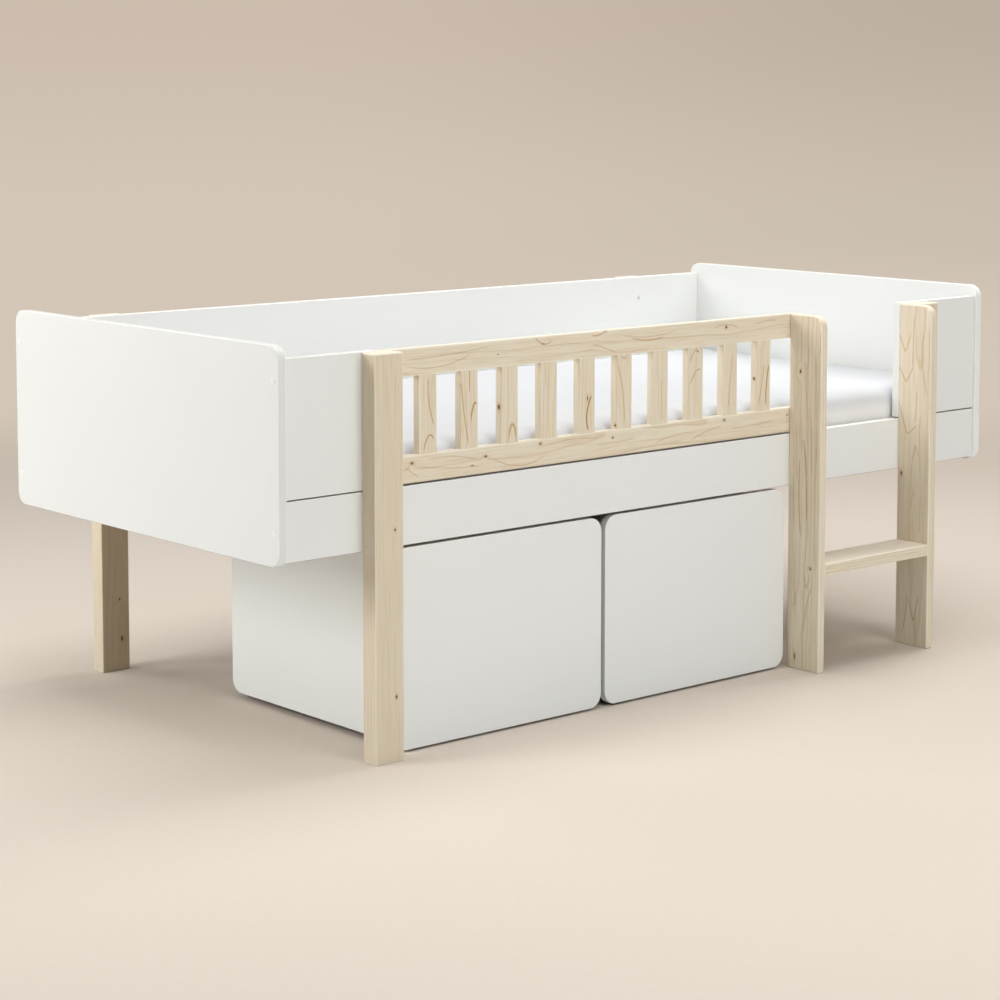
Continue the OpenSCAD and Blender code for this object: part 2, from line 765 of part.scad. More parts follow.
// Frame bolts, heads flush with the boards' inner faces
module at_bolts(bolts, inner_face, out) {
    for (b = bolts) translate([b.x, inner_face, b.y]) rotate([-90 * out, 0, 0]) children();
}

module frame_bolts() color(STEEL) {
    at_bolts(front_bolts, front_inner, -1) connector_bolt(bolt_l);
    at_bolts(back_bolts, back_inner, 1) connector_bolt(bolt_l);
    at_bolts(guard_bolts, front_y + guard_t, -1) connector_bolt(bolt_l + guard_t - board_t);
}

module sleeve() difference() {
    cylinder(d = sleeve_d, h = sleeve_l);
    translate([0, 0, -1]) cylinder(d = bolt_d + 2 * screw_play, h = sleeve_l + 2);
}

module sleeve_nuts() color(STEEL) {
    at_bolts(concat(front_bolts, guard_bolts), front_y, -1) sleeve();
    at_bolts(back_bolts, back_y, 1) sleeve();
}

// ---------- Storage boxes ----------

box_side_xs = [box_side_inset, box_front_w - box_side_inset];   // outer faces
box_inner_xs = [box_side_xs[0] + box_side_t, box_side_xs[1] - box_side_t];

// Dowels from the sides into the base and the back: [y, z] on a side's inner face
box_base_dowels = [for (u = [0.12, 0.5, 0.88])
    [box_body_y + u * (box_back_panel_y - box_body_y), box_base_z + box_base_t / 2]];
box_back_dowels = [for (u = [0.3, 0.8])
    [box_back_panel_y + box_back_t / 2, box_side_z + u * box_side_h]];
box_front_dowel_zs = [for (u = [0.15, 0.5, 0.85]) box_side_z + u * box_side_h];
box_front_dowel_bite = box_front_t / 2;

// Dowels across the box whose front starts at x0, from inside a side into the panel
// that the side holds
module at_box_dowels(x0) {
    for (p = concat(box_base_dowels, box_back_dowels)) {
        translate([x0 + box_inner_xs[0] - box_dowel_bite, p.x, p.y])
            rotate([0, 90, 0]) children();
        translate([x0 + box_inner_xs[1] + box_dowel_bite, p.x, p.y])
            rotate([0, -90, 0]) children();
    }
}

module box_dowel_hole() dowel_hole(box_dowel_d, box_dowel_l);

// Dowels from inside the front into the sides
module at_box_front_dowels(x0) {
    for (x = [box_side_xs[0] + box_side_t / 2, box_side_xs[1] - box_side_t / 2],
            z = box_front_dowel_zs)
        translate([x0 + x, box_body_y - box_front_dowel_bite, z])
            rotate([-90, 0, 0]) children();
}

module box_front_dowel_hole() dowel_hole(dowel_d, dowel_l);

module box_front(x0) color(WHITE) difference() {
    translate([x0, front_y, box_floor_gap])
        panel(box_front_w, box_front_h, box_front_t, box_corner_r, panel_ease);
    at_box_front_dowels(x0) box_front_dowel_hole();
}

// Side panel: its back corners are rounded, its front edge is square
module box_side(x0, x) color(WHITE) difference() {
    translate([x0 + x, box_body_y, box_side_z]) {
        panel_yz(box_body_d, box_side_h, box_side_t, box_corner_r, panel_ease);
        panel_yz(box_body_d / 2, box_side_h, box_side_t, 0, panel_ease);
    }
    at_box_dowels(x0) box_dowel_hole();
    at_box_front_dowels(x0) box_front_dowel_hole();
}

module box_side_a(x0) box_side(x0, box_side_xs[0]);
module box_side_b(x0) box_side(x0, box_inner_xs[1]);

module box_back(x0) color(WHITE) difference() {
    translate([x0 + box_inner_xs[0], box_back_panel_y,
            box_side_z + box_back_margin])
        panel(box_inner_w, box_side_h - 2 * box_back_margin, box_back_t, 0, panel_ease);
    at_box_dowels(x0) box_dowel_hole();
}

module box_base(x0) color(WHITE) difference() {
    translate([x0 + box_inner_xs[0], box_body_y, box_base_z])
        cube([box_inner_w, box_back_panel_y - box_body_y, box_base_t]);
    at_box_dowels(x0) box_dowel_hole();
    at_fork_screws(x0) fork_screw_hole();
}

module box_dowels(x0) color(BEECH) {
    at_box_dowels(x0) cylinder(d = box_dowel_d, h = box_dowel_l);
    at_box_front_dowels(x0) cylinder(d = dowel_d, h = dowel_l);
}

// ---------- Castors ----------

fork_screw_l = 12;
fork_screw_d = 3.5;
fork_w = fork_gap + 2 * fork_t;

module at_castors(x0) {
    for (c = castors) translate([x0 + c.x, c.y, 0]) children();
}

// Screws up through the fork's plate into the base, head against the plate
module at_fork_screws(x0) {
    dx = (fork_plate_l + fork_w) / 4;
    dy = fork_plate_d / 2 - 7;
    at_castors(x0) for (x = [-dx, dx], y = [-dy, dy])
        translate([x, y, fork_plate_z - fork_screw_d * 0.5]) children();
}

module fork_screw_hole() translate([0, 0, fork_screw_d * 0.5])
    cylinder(d = fork_screw_d + 2 * screw_play, h = fork_screw_l);

// Folded steel fork: a screwed plate and two cheeks that hold the axle
module castor_fork() {
    difference() {
        union() {
            translate([-fork_plate_l / 2, -fork_plate_d / 2, fork_plate_z])
                linear_extrude(fork_t) round_rect(fork_plate_l, fork_plate_d, 4);
            for (side = [-1, 1])
                translate([side * (fork_gap + fork_t) / 2 - fork_t / 2, 0, 0])
                    rotate([90, 0, 90]) linear_extrude(fork_t) {
                        translate([0, wheel_d / 2]) circle(fork_eye_r);
                        translate([-fork_eye_r, wheel_d / 2])
                            square([2 * fork_eye_r, fork_plate_z - wheel_d / 2 + eps]);
                    }
        }
        translate([-fork_w, 0, wheel_d / 2]) rotate([0, 90, 0])
            cylinder(d = axle_d + 2 * axle_play, h = 2 * fork_w);
    }
}

module box_castor_forks(x0) color(STEEL) difference() {
    at_castors(x0) castor_fork();
    at_fork_screws(x0) fork_screw_hole();
}

module box_castor_screws(x0) color(STEEL) at_fork_screws(x0) rotate_extrude()
    polygon([[0, 0], [fork_screw_d * 0.7, 0], [fork_screw_d, fork_screw_d * 0.5],
        [fork_screw_d / 2, fork_screw_d * 0.5], [fork_screw_d / 2, fork_screw_l - 2],
        [0, fork_screw_l]]);

// Riveted axles with a head outside each cheek
module box_axles(x0) color(STEEL) at_castors(x0) {
    l = fork_w + 0.4;
    translate([-l / 2, 0, wheel_d / 2]) rotate([0, 90, 0]) {
        cylinder(d = axle_d, h = l);
        for (z = [-axle_end_t, l]) translate([0, 0, z])
            cylinder(d = axle_d + 3, h = axle_end_t);
    }
}

// Nylon wheel: a rounded tread, a sunk web on both faces and a hub with its bore
module wheel(x0, i) color(NYLON)
    translate([x0 + castors[i].x, castors[i].y, wheel_d / 2]) rotate([0, 90, 0])
        translate([0, 0, -wheel_w / 2]) rotate_extrude($fn = 64) difference() {
            union() {
                square([wheel_d / 2 - 2, wheel_w]);
                translate([0, 2]) square([wheel_d / 2, wheel_w - 4]);
                for (y = [2, wheel_w - 2]) translate([wheel_d / 2 - 2, y]) circle(2);
            }
            translate([-1, -1]) square([1 + axle_d / 2 + axle_play, wheel_w + 2]);
            for (y = [-1, wheel_w - 3]) translate([axle_d / 2 + 3, y])
                square([wheel_d / 2 - axle_d / 2 - 7, 4]);
        }

module box_left_front() box_front(box_left_x);
module box_left_side_a() box_side_a(box_left_x);
module box_left_side_b() box_side_b(box_left_x);
module box_left_back() box_back(box_left_x);
module box_left_base() box_base(box_left_x);
module box_left_dowels() box_dowels(box_left_x);
module box_left_castor_forks() box_castor_forks(box_left_x);
module box_left_castor_screws() box_castor_screws(box_left_x);
module box_left_axles() box_axles(box_left_x);
module box_right_front() box_front(box_right_x);
module box_right_side_a() box_side_a(box_right_x);
module box_right_side_b() box_side_b(box_right_x);
module box_right_back() box_back(box_right_x);
module box_right_base() box_base(box_right_x);
module box_right_dowels() box_dowels(box_right_x);
module box_right_castor_forks() box_castor_forks(box_right_x);
module box_right_castor_screws() box_castor_screws(box_right_x);
module box_right_axles() box_axles(box_right_x);
module box_left_wheel_1() wheel(box_left_x, 0);
module box_left_wheel_2() wheel(box_left_x, 1);
module box_left_wheel_3() wheel(box_left_x, 2);
module box_left_wheel_4() wheel(box_left_x, 3);
module box_right_wheel_1() wheel(box_right_x, 0);
module box_right_wheel_2() wheel(box_right_x, 1);
module box_right_wheel_3() wheel(box_right_x, 2);
module box_right_wheel_4() wheel(box_right_x, 3);

left_end_panel();
right_end_panel();
front_side_rail();
back_side_rail();
front_board_left();
front_board_right();
back_board();
leg_front_left();
leg_front_right();
leg_back_left();
leg_back_right();
guard_top_rail();
guard_bottom_rail();
guard_end_post();
guard_balusters();
ladder_stile_left();
ladder_stile_right();
ladder_tread();
tread_dowels();
ledger_front();
ledger_back();
ledger_screws();
bed_slats();
slat_webbing();
slat_screws();
mattress();
end_panel_screws();
screw_caps();
frame_bolts();
sleeve_nuts();
box_left_front();
box_left_side_a();
box_left_side_b();
box_left_back();
box_left_base();
box_left_dowels();
box_left_castor_forks();
box_left_castor_screws();
box_left_axles();
box_left_wheel_1();
box_left_wheel_2();
box_left_wheel_3();
box_left_wheel_4();
box_right_front();
box_right_side_a();
box_right_side_b();
box_right_back();
box_right_base();
box_right_dowels();
box_right_castor_forks();
box_right_castor_screws();
box_right_axles();
box_right_wheel_1();
box_right_wheel_2();
box_right_wheel_3();
box_right_wheel_4();
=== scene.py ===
# %% [markdown]
# # A cabin bed on pine legs, dressed for its photograph
# The bed stands low: white lacquered boards hang between pine legs, a pine guard rail
# and a two-stile ladder close the front, and two storage boxes roll out from below.
# Its solids come ready from the construction, in metres, each one at its place.
# This lesson gives them their finishes, builds the soft pieces that a solid can't show,
# and lights the bed as in the photograph. The solids are never moved or reshaped.

# %% Open the bed's solids
import json
import math
from functools import partial

import bpy
import numpy as np
from mathutils import Euler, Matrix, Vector

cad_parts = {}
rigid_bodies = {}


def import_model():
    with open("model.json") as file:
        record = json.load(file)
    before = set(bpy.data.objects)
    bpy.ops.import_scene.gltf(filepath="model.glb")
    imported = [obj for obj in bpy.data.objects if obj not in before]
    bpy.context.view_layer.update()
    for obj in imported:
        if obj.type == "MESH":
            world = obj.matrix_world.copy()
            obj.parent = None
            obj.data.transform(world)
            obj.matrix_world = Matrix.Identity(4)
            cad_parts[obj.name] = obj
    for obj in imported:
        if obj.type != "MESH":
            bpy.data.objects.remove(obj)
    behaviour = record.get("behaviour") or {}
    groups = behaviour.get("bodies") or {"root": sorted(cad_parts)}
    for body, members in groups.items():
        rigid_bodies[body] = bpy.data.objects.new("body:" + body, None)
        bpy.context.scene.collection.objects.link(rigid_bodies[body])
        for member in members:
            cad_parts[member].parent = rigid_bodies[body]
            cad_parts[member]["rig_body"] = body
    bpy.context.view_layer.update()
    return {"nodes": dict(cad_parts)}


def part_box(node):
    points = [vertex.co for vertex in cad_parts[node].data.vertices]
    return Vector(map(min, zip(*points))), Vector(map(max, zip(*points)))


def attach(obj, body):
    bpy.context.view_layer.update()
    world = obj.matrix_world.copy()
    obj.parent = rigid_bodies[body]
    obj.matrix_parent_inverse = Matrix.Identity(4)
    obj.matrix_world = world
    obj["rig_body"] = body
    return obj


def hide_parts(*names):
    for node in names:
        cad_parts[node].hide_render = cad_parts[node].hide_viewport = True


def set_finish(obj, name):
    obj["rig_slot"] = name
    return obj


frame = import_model()
solid_parts = frame["nodes"]

# %% [markdown]
# ## The camera
# The verticals of the bed stand nearly upright in the photograph, so the camera looks
# down only a little and the lens is shifted for the rest. A level camera with twice the
# shift would draw them quite upright, but a shift moves the bed out of every other view.
# The place comes from a fit of the corners of boards and posts.

# %% Set up the camera
def named(name):
    piece = bpy.context.object
    piece.name = name
    return piece


CAMERA_PLACE = (-3.6731, -4.1592, 1.3171)
CAMERA_TURN = (math.radians(84.82), 0, math.radians(-40.69))
bpy.ops.object.camera_add(location=CAMERA_PLACE, rotation=CAMERA_TURN)
photo_camera = named("photo_camera")
photo_camera.data.lens = 89.3
photo_camera.data.sensor_width = 36
photo_camera.data.shift_y = -0.2
photo_camera.data.clip_end = 200
bpy.context.scene.camera = photo_camera
bpy.context.scene.view_settings.view_transform = "Standard"
print("camera at", [round(c, 3) for c in photo_camera.location])

# %% [markdown]
# ## Small helpers for materials
# A material is a tree of nodes. These helpers keep the trees readable: one adds a node
# with its inputs, and others do arithmetic, turn a range of values into a soft step, blend
# colours or make noise. A socket given as a value is linked, and anything else is typed
# in. A socket knows its own tree, so most helpers aren't told it.

# %% Helpers that add nodes
def fill_inputs(node, values):
    for socket_name, value in values.items():
        if isinstance(value, bpy.types.NodeSocket):
            node.id_data.links.new(value, node.inputs[socket_name])
        else:
            node.inputs[socket_name].default_value = value


def add_node(tree, kind, values=None, **options):
    node = tree.nodes.new("ShaderNode" + kind)
    for option, choice in options.items():
        setattr(node, option, choice)
    fill_inputs(node, values or {})
    return node


def tree_of(*values):
    return next(value.id_data for value in values if isinstance(value, bpy.types.NodeSocket))


def calc(operation, *values):
    return add_node(tree_of(*values), "Math", dict(enumerate(values)), operation=operation).outputs[0]


plus, minus, times, times_plus = (
    partial(calc, operation) for operation in ("ADD", "SUBTRACT", "MULTIPLY", "MULTIPLY_ADD"))


def calc_vector(operation, first, *second, output="Vector"):
    values = dict(enumerate((first, *second)))
    return add_node(first.id_data, "VectorMath", values, operation=operation).outputs[output]


def scale_vector(vector, size):
    values = {0: vector, "Scale": size}
    return add_node(vector.id_data, "VectorMath", values, operation="SCALE").outputs[0]


def axes_of(place):
    return add_node(place.id_data, "SeparateXYZ", {0: place}).outputs


def own_place(tree):
    return add_node(tree, "TexCoord").outputs["Object"]


def soft_step(value, low, high, at_low=0.0, at_high=1.0):
    values = {"Value": value, "From Min": low, "From Max": high, "To Min": at_low, "To Max": at_high}
    return add_node(value.id_data, "MapRange", values, interpolation_type="SMOOTHSTEP").outputs[0]


def blend_colour(share, first, second, blend_type="MIX"):
    node = add_node(tree_of(share, first, second), "Mix", {0: share, 6: first, 7: second},
                    data_type="RGBA", blend_type=blend_type)
    return node.outputs[2]


def noise(place, scale, stretch=(1, 1, 1), detail=2.0, seed=0.0, output="Fac"):
    stretched = calc_vector("MULTIPLY", place, stretch)
    values = {"Vector": stretched, "Scale": scale, "Detail": detail, "W": seed}
    return add_node(place.id_data, "TexNoise", values, noise_dimensions="4D").outputs[output]


print("node helpers are ready")

# %% [markdown]
# An effect that several finishes share, such as grain or the skin of lacquer, is a node
# group with named inputs and outputs. One helper opens such a group, another closes it by
# linking the results, and a third places it in a finish. The value given for an input
# says what it is: a number, a colour, or nothing yet for a place.

# %% Helpers that open, close and place a node group
def spaced(values):
    return {name.replace("_", " "): value for name, value in values.items()}


def open_group(title, **inputs):
    tree = bpy.data.node_groups.new(title, "ShaderNodeTree")
    for name, value in spaced(inputs).items():
        kind = {float: "Float", tuple: "Color"}.get(type(value), "Vector")
        socket = tree.interface.new_socket(name, in_out="INPUT", socket_type="NodeSocket" + kind)
        if value is not None:
            socket.default_value = value
    return tree, tree.nodes.new("NodeGroupInput").outputs


def close_group(tree, **results):
    for name in spaced(results):
        kind = "Color" if name == "Colour" else "Float"
        tree.interface.new_socket(name, in_out="OUTPUT", socket_type="NodeSocket" + kind)
    fill_inputs(tree.nodes.new("NodeGroupOutput"), spaced(results))
    print("node group", tree.name, "gives", list(results))
    return tree


def place_group(group, **values):
    node = tree_of(*values.values()).nodes.new("ShaderNodeGroup")
    node.node_tree = group
    fill_inputs(node, spaced(values))
    return node.outputs


# %% [markdown]
# ## Pine grain
# Sawn pine shows its growth rings as lines. A ring is a surface round the middle of the
# tree, so the lines on every face follow from one sum: a point's distance from the tree's
# middle, divided by the gap between rings. Each ring ends in a thin ochre line that stops
# sharply, and some show far more than others. The distance wanders along the trunk, and
# the rings bulge round a knot. Fine fibres run along the grain. This pine is oiled pale,
# so all of it stays quiet.

# %% Build the pine grain group
PALE_WOOD, OCHRE_WOOD = (0.785, 0.71, 0.568, 1), (0.56, 0.39, 0.195, 1)
AGED_TINT = (0.965, 0.92, 0.86, 1)
LINE_BROWN, HALO_BROWN = (0.4, 0.215, 0.035, 1), (0.5, 0.3, 0.12, 1)
KNOT_BROWN = (0.15, 0.064, 0.014, 1)
RING_WOBBLES = (((28, 28, 13), 0.004), ((70, 70, 12), 0.0009))


def build_pine_grain():
    tree, given = open_group(
        "pine_grain", Place=None, Seed=0.0, Tree_middle=None, Ring_gap=0.005, Lean=0.0,
        Wander=0.01, Bulge=0.0, Knot=0.0, Knot_halo=0.0, Line=0.0, Contrast=0.6,
        Early_wood=PALE_WOOD, Late_wood=OCHRE_WOOD)
    place, seed = given["Place"], given["Seed"]
    drift = noise(place, 1.0, (7, 7, 2.2), seed=seed, output="Color")
    drift = scale_vector(calc_vector("SUBTRACT", drift, (0.5, 0.5, 0.5)), given["Wander"])
    across = calc_vector("ADD", calc_vector("SUBTRACT", place, given["Tree middle"]), drift)
    across = calc_vector("MULTIPLY", across, (1, 1, 0))
    distance = calc_vector("LENGTH", across, output="Value")
    distance = times_plus(axes_of(place)[2], given["Lean"], distance)
    distance = plus(distance, given["Bulge"])
    for fineness, reach in RING_WOBBLES:
        distance = times_plus(noise(place, 1.0, fineness, seed=seed), reach, distance)
    rings = calc("DIVIDE", distance, given["Ring gap"])
    ring_seed = plus(calc("FLOOR", rings), seed)
    luck = add_node(tree, "TexWhiteNoise", {"W": ring_seed}, noise_dimensions="1D").outputs[0]
    share = calc("FRACT", rings)
    rise = soft_step(share, 0.35, 0.92, 0.0, 0.38)
    crest = soft_step(share, 0.8, 0.93, 0.0, 0.62)
    fall = soft_step(share, 0.94, 1.0, 1.0, 0.0)
    strength = times_plus(times(luck, luck), 0.8, 0.2)
    band = times(times(plus(rise, crest), fall), strength)
    streaks = soft_step(noise(place, 260.0, (1, 1, 0.03), 3.0, seed), 0.4, 0.72)
    pores = soft_step(noise(place, 460.0, (1, 1, 0.035), seed=seed), 0.54, 0.7)
    fibre = noise(place, 1500.0, (1, 1, 0.015), seed=seed)
    dark = times(band, given["Contrast"])
    for marks, weight in ((streaks, 0.24), (pores, 0.22), (fibre, 0.06)):
        dark = times_plus(marks, weight, dark)
    colour = blend_colour(dark, given["Early wood"], given["Late wood"])
    aged = soft_step(noise(place, 9.0, (1, 1, 0.25), seed=seed), 0.35, 0.7, 0.0, 0.35)
    colour = blend_colour(aged, colour, AGED_TINT, "MULTIPLY")
    colour = blend_colour(given["Line"], colour, LINE_BROWN)
    colour = blend_colour(times(given["Knot halo"], 0.42), colour, HALO_BROWN)
    colour = blend_colour(given["Knot"], colour, KNOT_BROWN)
    height = minus(times_plus(fibre, 0.5, band), given["Knot"])
    rough = times_plus(band, -0.08, times_plus(fibre, 0.16, 0.44))
    return close_group(tree, Colour=colour, Height=height, Roughness=rough)


pine_grain = build_pine_grain()

# %% [markdown]
# ## Knots
# A knot is a branch that the trunk grew round. On a sawn face it is a small dark oval with
# a warmer ring, and the rings of the trunk bend past it. The group measures how far a
# point is from the branch, in units of its radii. A stretch of zero along an axis lets
# the branch run right through the piece. Each group passes on the masks of the ones before.

# %% Build the knot group
def build_knot():
    tree, given = open_group("knot", Place=None, Centre=None, Stretch=None, Bulge=0.0,
                             Knot_so_far=0.0, Halo_so_far=0.0, Bulge_so_far=0.0)
    away = calc_vector("SUBTRACT", given["Place"], given["Centre"])
    away = calc_vector("MULTIPLY", away, given["Stretch"])
    radii = calc_vector("LENGTH", away, output="Value")
    ragged = times_plus(noise(given["Place"], 420.0), 0.7, minus(radii, 0.35))
    core = soft_step(ragged, 0.65, 1.1, 1.0, 0.0)
    halo = soft_step(ragged, 0.8, 2.8, 1.0, 0.0)
    bulge = calc("DIVIDE", given["Bulge"], times_plus(times(radii, radii), 0.12, 1.0))
    return close_group(tree, Knot=calc("MAXIMUM", core, given["Knot so far"]),
                       Halo=calc("MAXIMUM", halo, given["Halo so far"]),
                       Bulge=plus(bulge, given["Bulge so far"]))


knot_group = build_knot()

# %% [markdown]
# ## Single lines in the grain
# The eye knows this bed by a few growth lines, resin streaks and arches. Each is drawn as
# a short piece of a parabola. A line that runs up a face gives its distance across from
# the distance along, an arch swaps the two, and a pointed arch has straight sides and a
# tight tip. The group measures how far a point lies beside the curve and fades its ends.

# %% Build the line group
def mix_value(share, first, second):
    values = {0: share, 2: first, 3: second}
    return add_node(share.id_data, "Mix", values, data_type="FLOAT").outputs[0]


def build_grain_line():
    tree, given = open_group(
        "grain_line", Across=0.0, Along=0.0, Middle_across=0.0, Middle_along=0.0, Tilt=0.0,
        Bend=0.0, Half_length=0.05, Half_width=0.002, Strength=0.6, Wobble=0.0, Pointed=0.0,
        Line_so_far=0.0)
    half, pointed = given["Half length"], given["Pointed"]
    step = minus(given["Along"], given["Middle along"])
    tip = times(half, 0.12)
    side = calc("SQRT", times_plus(step, step, times(tip, tip)))
    sharp_slope = calc("DIVIDE", times(half, step), side)
    rise = mix_value(pointed, times(step, step), times(half, minus(side, tip)))
    rise_slope = mix_value(pointed, times(step, 2.0), sharp_slope)
    level = times_plus(step, given["Tilt"], given["Middle across"])
    curve = times_plus(rise, given["Bend"], level)
    slope = times_plus(rise_slope, given["Bend"], given["Tilt"])
    steep = calc("SQRT", times_plus(slope, slope, 1.0))
    beside = minus(plus(given["Across"], given["Wobble"]), curve)
    beside = calc("DIVIDE", calc("ABSOLUTE", beside), steep)
    line = soft_step(beside, 0.0, given["Half width"], 1.0, 0.0)
    inside = soft_step(calc("ABSOLUTE", step), times(half, 0.75), half, 1.0, 0.0)
    line = times(times(line, inside), given["Strength"])
    return close_group(tree, Line=calc("MAXIMUM", line, given["Line so far"]))


grain_line = build_grain_line()

# %% [markdown]
# ## Softened edges
# Every board and post has its edges eased with sandpaper. The finishes use this mask to
# paint a highlight along the edges. The group measures how near a point is to an edge of its box: of
# the three distances to the box's sides the middle one is the distance to the nearest edge.

# %% Build the edge group
def build_edge_mask():
    tree, given = open_group("edge_mask", Place=None, Low_corner=None, High_corner=None,
                             Reach=0.004)
    from_low = calc_vector("SUBTRACT", given["Place"], given["Low corner"])
    from_high = calc_vector("SUBTRACT", given["High corner"], given["Place"])
    x, y, z = axes_of(calc_vector("MINIMUM", from_low, from_high))
    larger = calc("MAXIMUM", x, y)
    middle = calc("MAXIMUM", calc("MINIMUM", x, y), calc("MINIMUM", larger, z))
    return close_group(tree, Edge=soft_step(middle, 0.0, given["Reach"], 1.0, 0.0))


edge_mask = build_edge_mask()

# %% [markdown]
# ## Pine finishes, one for each piece
# Each piece was sawn from another spot of a tree. Its finish says which way the grain
# runs, where the tree's middle lies, how wide the rings are and where the knots are.
# Balusters and slats are many pieces in one solid, so their finish counts them along the
# bed and starts each at another spot of the tree.

# %% Helper: coordinates that lie along the grain
GRAIN_TURN = {"X": (0, -math.pi / 2, 0), "Y": (math.pi / 2, 0, 0), "Z": (0, 0, 0)}


def grain_place(tree, middle, grain, pitch, first):
    place, count = own_place(tree), None
    if pitch:
        count = calc("ROUND", calc("DIVIDE", minus(axes_of(place)[0], first), pitch))
        shift = add_node(tree, "CombineXYZ", {0: times(count, pitch)}).outputs[0]
        place = calc_vector("SUBTRACT", place, shift)
        middle = Vector((first, middle[1], middle[2]))
    turn = Euler(GRAIN_TURN[grain])
    back = -(turn.to_matrix() @ Vector(middle))
    mapped = add_node(tree, "Mapping", {"Vector": place, "Rotation": turn, "Location": back})
    return mapped.outputs[0], count


print("grain turns:", sorted(GRAIN_TURN))


# %% Helpers that start a finish, join its surface and put it on a piece
def new_finish(name):
    finish = bpy.data.materials.new(name)
    finish.use_nodes = True
    tree = finish.node_tree
    return finish, tree, tree.nodes["Principled BSDF"]


def join_surface(surface, colour, rough, height, depth, strength, specular=0.5):
    bump = add_node(surface.id_data, "Bump",
                    {"Height": height, "Distance": depth, "Strength": strength})
    fill_inputs(surface, {"Base Color": colour, "Roughness": rough, "Normal": bump.outputs[0],
                          "Specular IOR Level": specular})


def dress(piece, finish):
    piece.data.materials.clear()
    piece.data.materials.append(finish)


print("finish helpers are ready")


# %% Helper: one pine finish
PAINTED_LIGHT_PINE = (0.93, 0.87, 0.75, 1)
NO_LINES = {}
MM = 1000


def draw_lines(place, lines, face):
    """A line: middle across and along, tilt, bend, half length and width in mm, strength."""
    x, y, z = axes_of(place)
    level = y if face == "side" else x
    wobble = times_plus(noise(place, 85.0), 0.002, -0.001)
    drawn = 0.0
    for kind, rows in lines.items():
        here = (level, z) if kind == "up" else (z, level)
        for across, along, tilt, bend, half_length, half_width, strength in rows:
            drawn = place_group(
                grain_line, Across=here[0], Along=here[1], Middle_across=across / MM,
                Middle_along=along / MM, Tilt=tilt, Bend=bend, Half_length=half_length / MM,
                Half_width=half_width / MM, Strength=strength, Wobble=wobble,
                Pointed=float(kind == "point"), Line_so_far=drawn)["Line"]
    return drawn


def pine_finish(name, grain, seed, tree_middle, ring_gap=0.005, lean=0.0, wander=0.01,
                contrast=0.6, knots=(), pitch=0.0, first=0.0, early=PALE_WOOD, lines=NO_LINES,
                face="front", painted_front_shade=None):
    finish, tree, surface = new_finish("pine_" + name)
    low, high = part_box(name)
    along_grain, count = grain_place(tree, (low + high) / 2, grain, pitch, first)
    place = own_place(tree)
    masks = {"Knot": 0.0, "Halo": 0.0, "Bulge": 0.0}
    for centre, radii, bulge in knots:
        masks = place_group(
            knot_group, Place=place, Centre=centre, Stretch=[1 / r if r else 0.0 for r in radii],
            Bulge=bulge, Knot_so_far=masks["Knot"], Halo_so_far=masks["Halo"],
            Bulge_so_far=masks["Bulge"])
    if count is not None:
        luck = add_node(tree, "TexWhiteNoise", {"W": count}, noise_dimensions="1D").outputs
        seed = times_plus(luck[0], 40.0, seed)
        moved = calc_vector("SUBTRACT", luck[1], (0.5, 0.5, 0.5))
        moved = calc_vector("MULTIPLY", moved, (0.12, 0.05, 0.0))
        tree_middle = calc_vector("ADD", moved, tree_middle)
    wood = place_group(
        pine_grain, Place=along_grain, Seed=seed, Tree_middle=tree_middle, Ring_gap=ring_gap,
        Lean=lean, Wander=wander, Contrast=contrast, Early_wood=early, Knot=masks["Knot"],
        Knot_halo=masks["Halo"], Bulge=masks["Bulge"], Line=draw_lines(place, lines, face))
    edge = place_group(edge_mask, Place=place, Low_corner=low, High_corner=high)["Edge"]
    y, z = axes_of(place)[1:]
    # Painted highlight: the edges and the top faces of each piece are blended towards a paler pine.
    painted_top_light = soft_step(z, high.z - 0.0045, high.z - 0.0012, 0.0, 0.62)
    painted_light_mask = calc("MAXIMUM", times(edge, 0.5), painted_top_light)
    colour = blend_colour(painted_light_mask, wood["Colour"], PAINTED_LIGHT_PINE)
    # Painted shade: the piece's front face is tinted darker and browner.
    if painted_front_shade:
        front_shade_mask = soft_step(y, low.y + 0.0005, low.y + 0.003, 1.0, 0.0)
        colour = blend_colour(front_shade_mask, colour, painted_front_shade, "MULTIPLY")
    join_surface(surface, colour, wood["Roughness"], wood["Height"], depth=0.00025,
                 strength=0.35, specular=0.35)
    dress(solid_parts[name], finish)
    print("pine on", name, "grain along", grain, "knots", len(knots))


# %% [markdown]
# The legs are straight-grained and quiet. The photograph shows one knot on the front of
# the left leg at board height and one near its foot, and two dark specks on the back leg.
# The back leg's front face, in the shade under the bed, is tinted darker and browner: painted shade.

# %% Finish the legs
def front_knot(x, z, width=0.0022, height=0.003, bulge=0.003):
    return ((x, 0.0, z), (width, 0.0, height), bulge)


def side_knot(y, z, width=0.003, height=0.004, bulge=0.004):
    return ((0.0, y, z), (0.0, width, height), bulge)


LEG_PINE, FRONT_SHADE_TINT = (0.725, 0.648, 0.507, 1), (0.78, 0.72, 0.65, 1)
pine_finish("leg_front_left", "Z", 3.1, (0.09, 0.05, 0), 0.0042, 0.004, 0.012, 0.42,
            [front_knot(-0.777, 0.453), front_knot(-0.775, 0.128, 0.0024, 0.0042)],
            early=LEG_PINE)
pine_finish("leg_front_right", "Z", 7.7, (-0.11, 0.03, 0), 0.0045, 0.003, 0.012, 0.42,
            early=LEG_PINE)
pine_finish("leg_back_left", "Z", 12.4, (0.02, 0.07, 0), 0.005, 0.01, 0.016, 0.5,
            [front_knot(-0.781, 0.16), front_knot(-0.776, 0.071, 0.003, 0.006)],
            early=LEG_PINE, painted_front_shade=FRONT_SHADE_TINT)
pine_finish("leg_back_right", "Z", 15.9, (-0.08, -0.06, 0), 0.0048, 0.004, 0.012, 0.42,
            early=LEG_PINE)

# %% [markdown]
# The guard rail is one frame. Its rails carry wavy grain along the bed and several small
# knots, and the balusters between them are narrower strips, each from another plank, with
# single lines, small arches and two dark resin streaks.

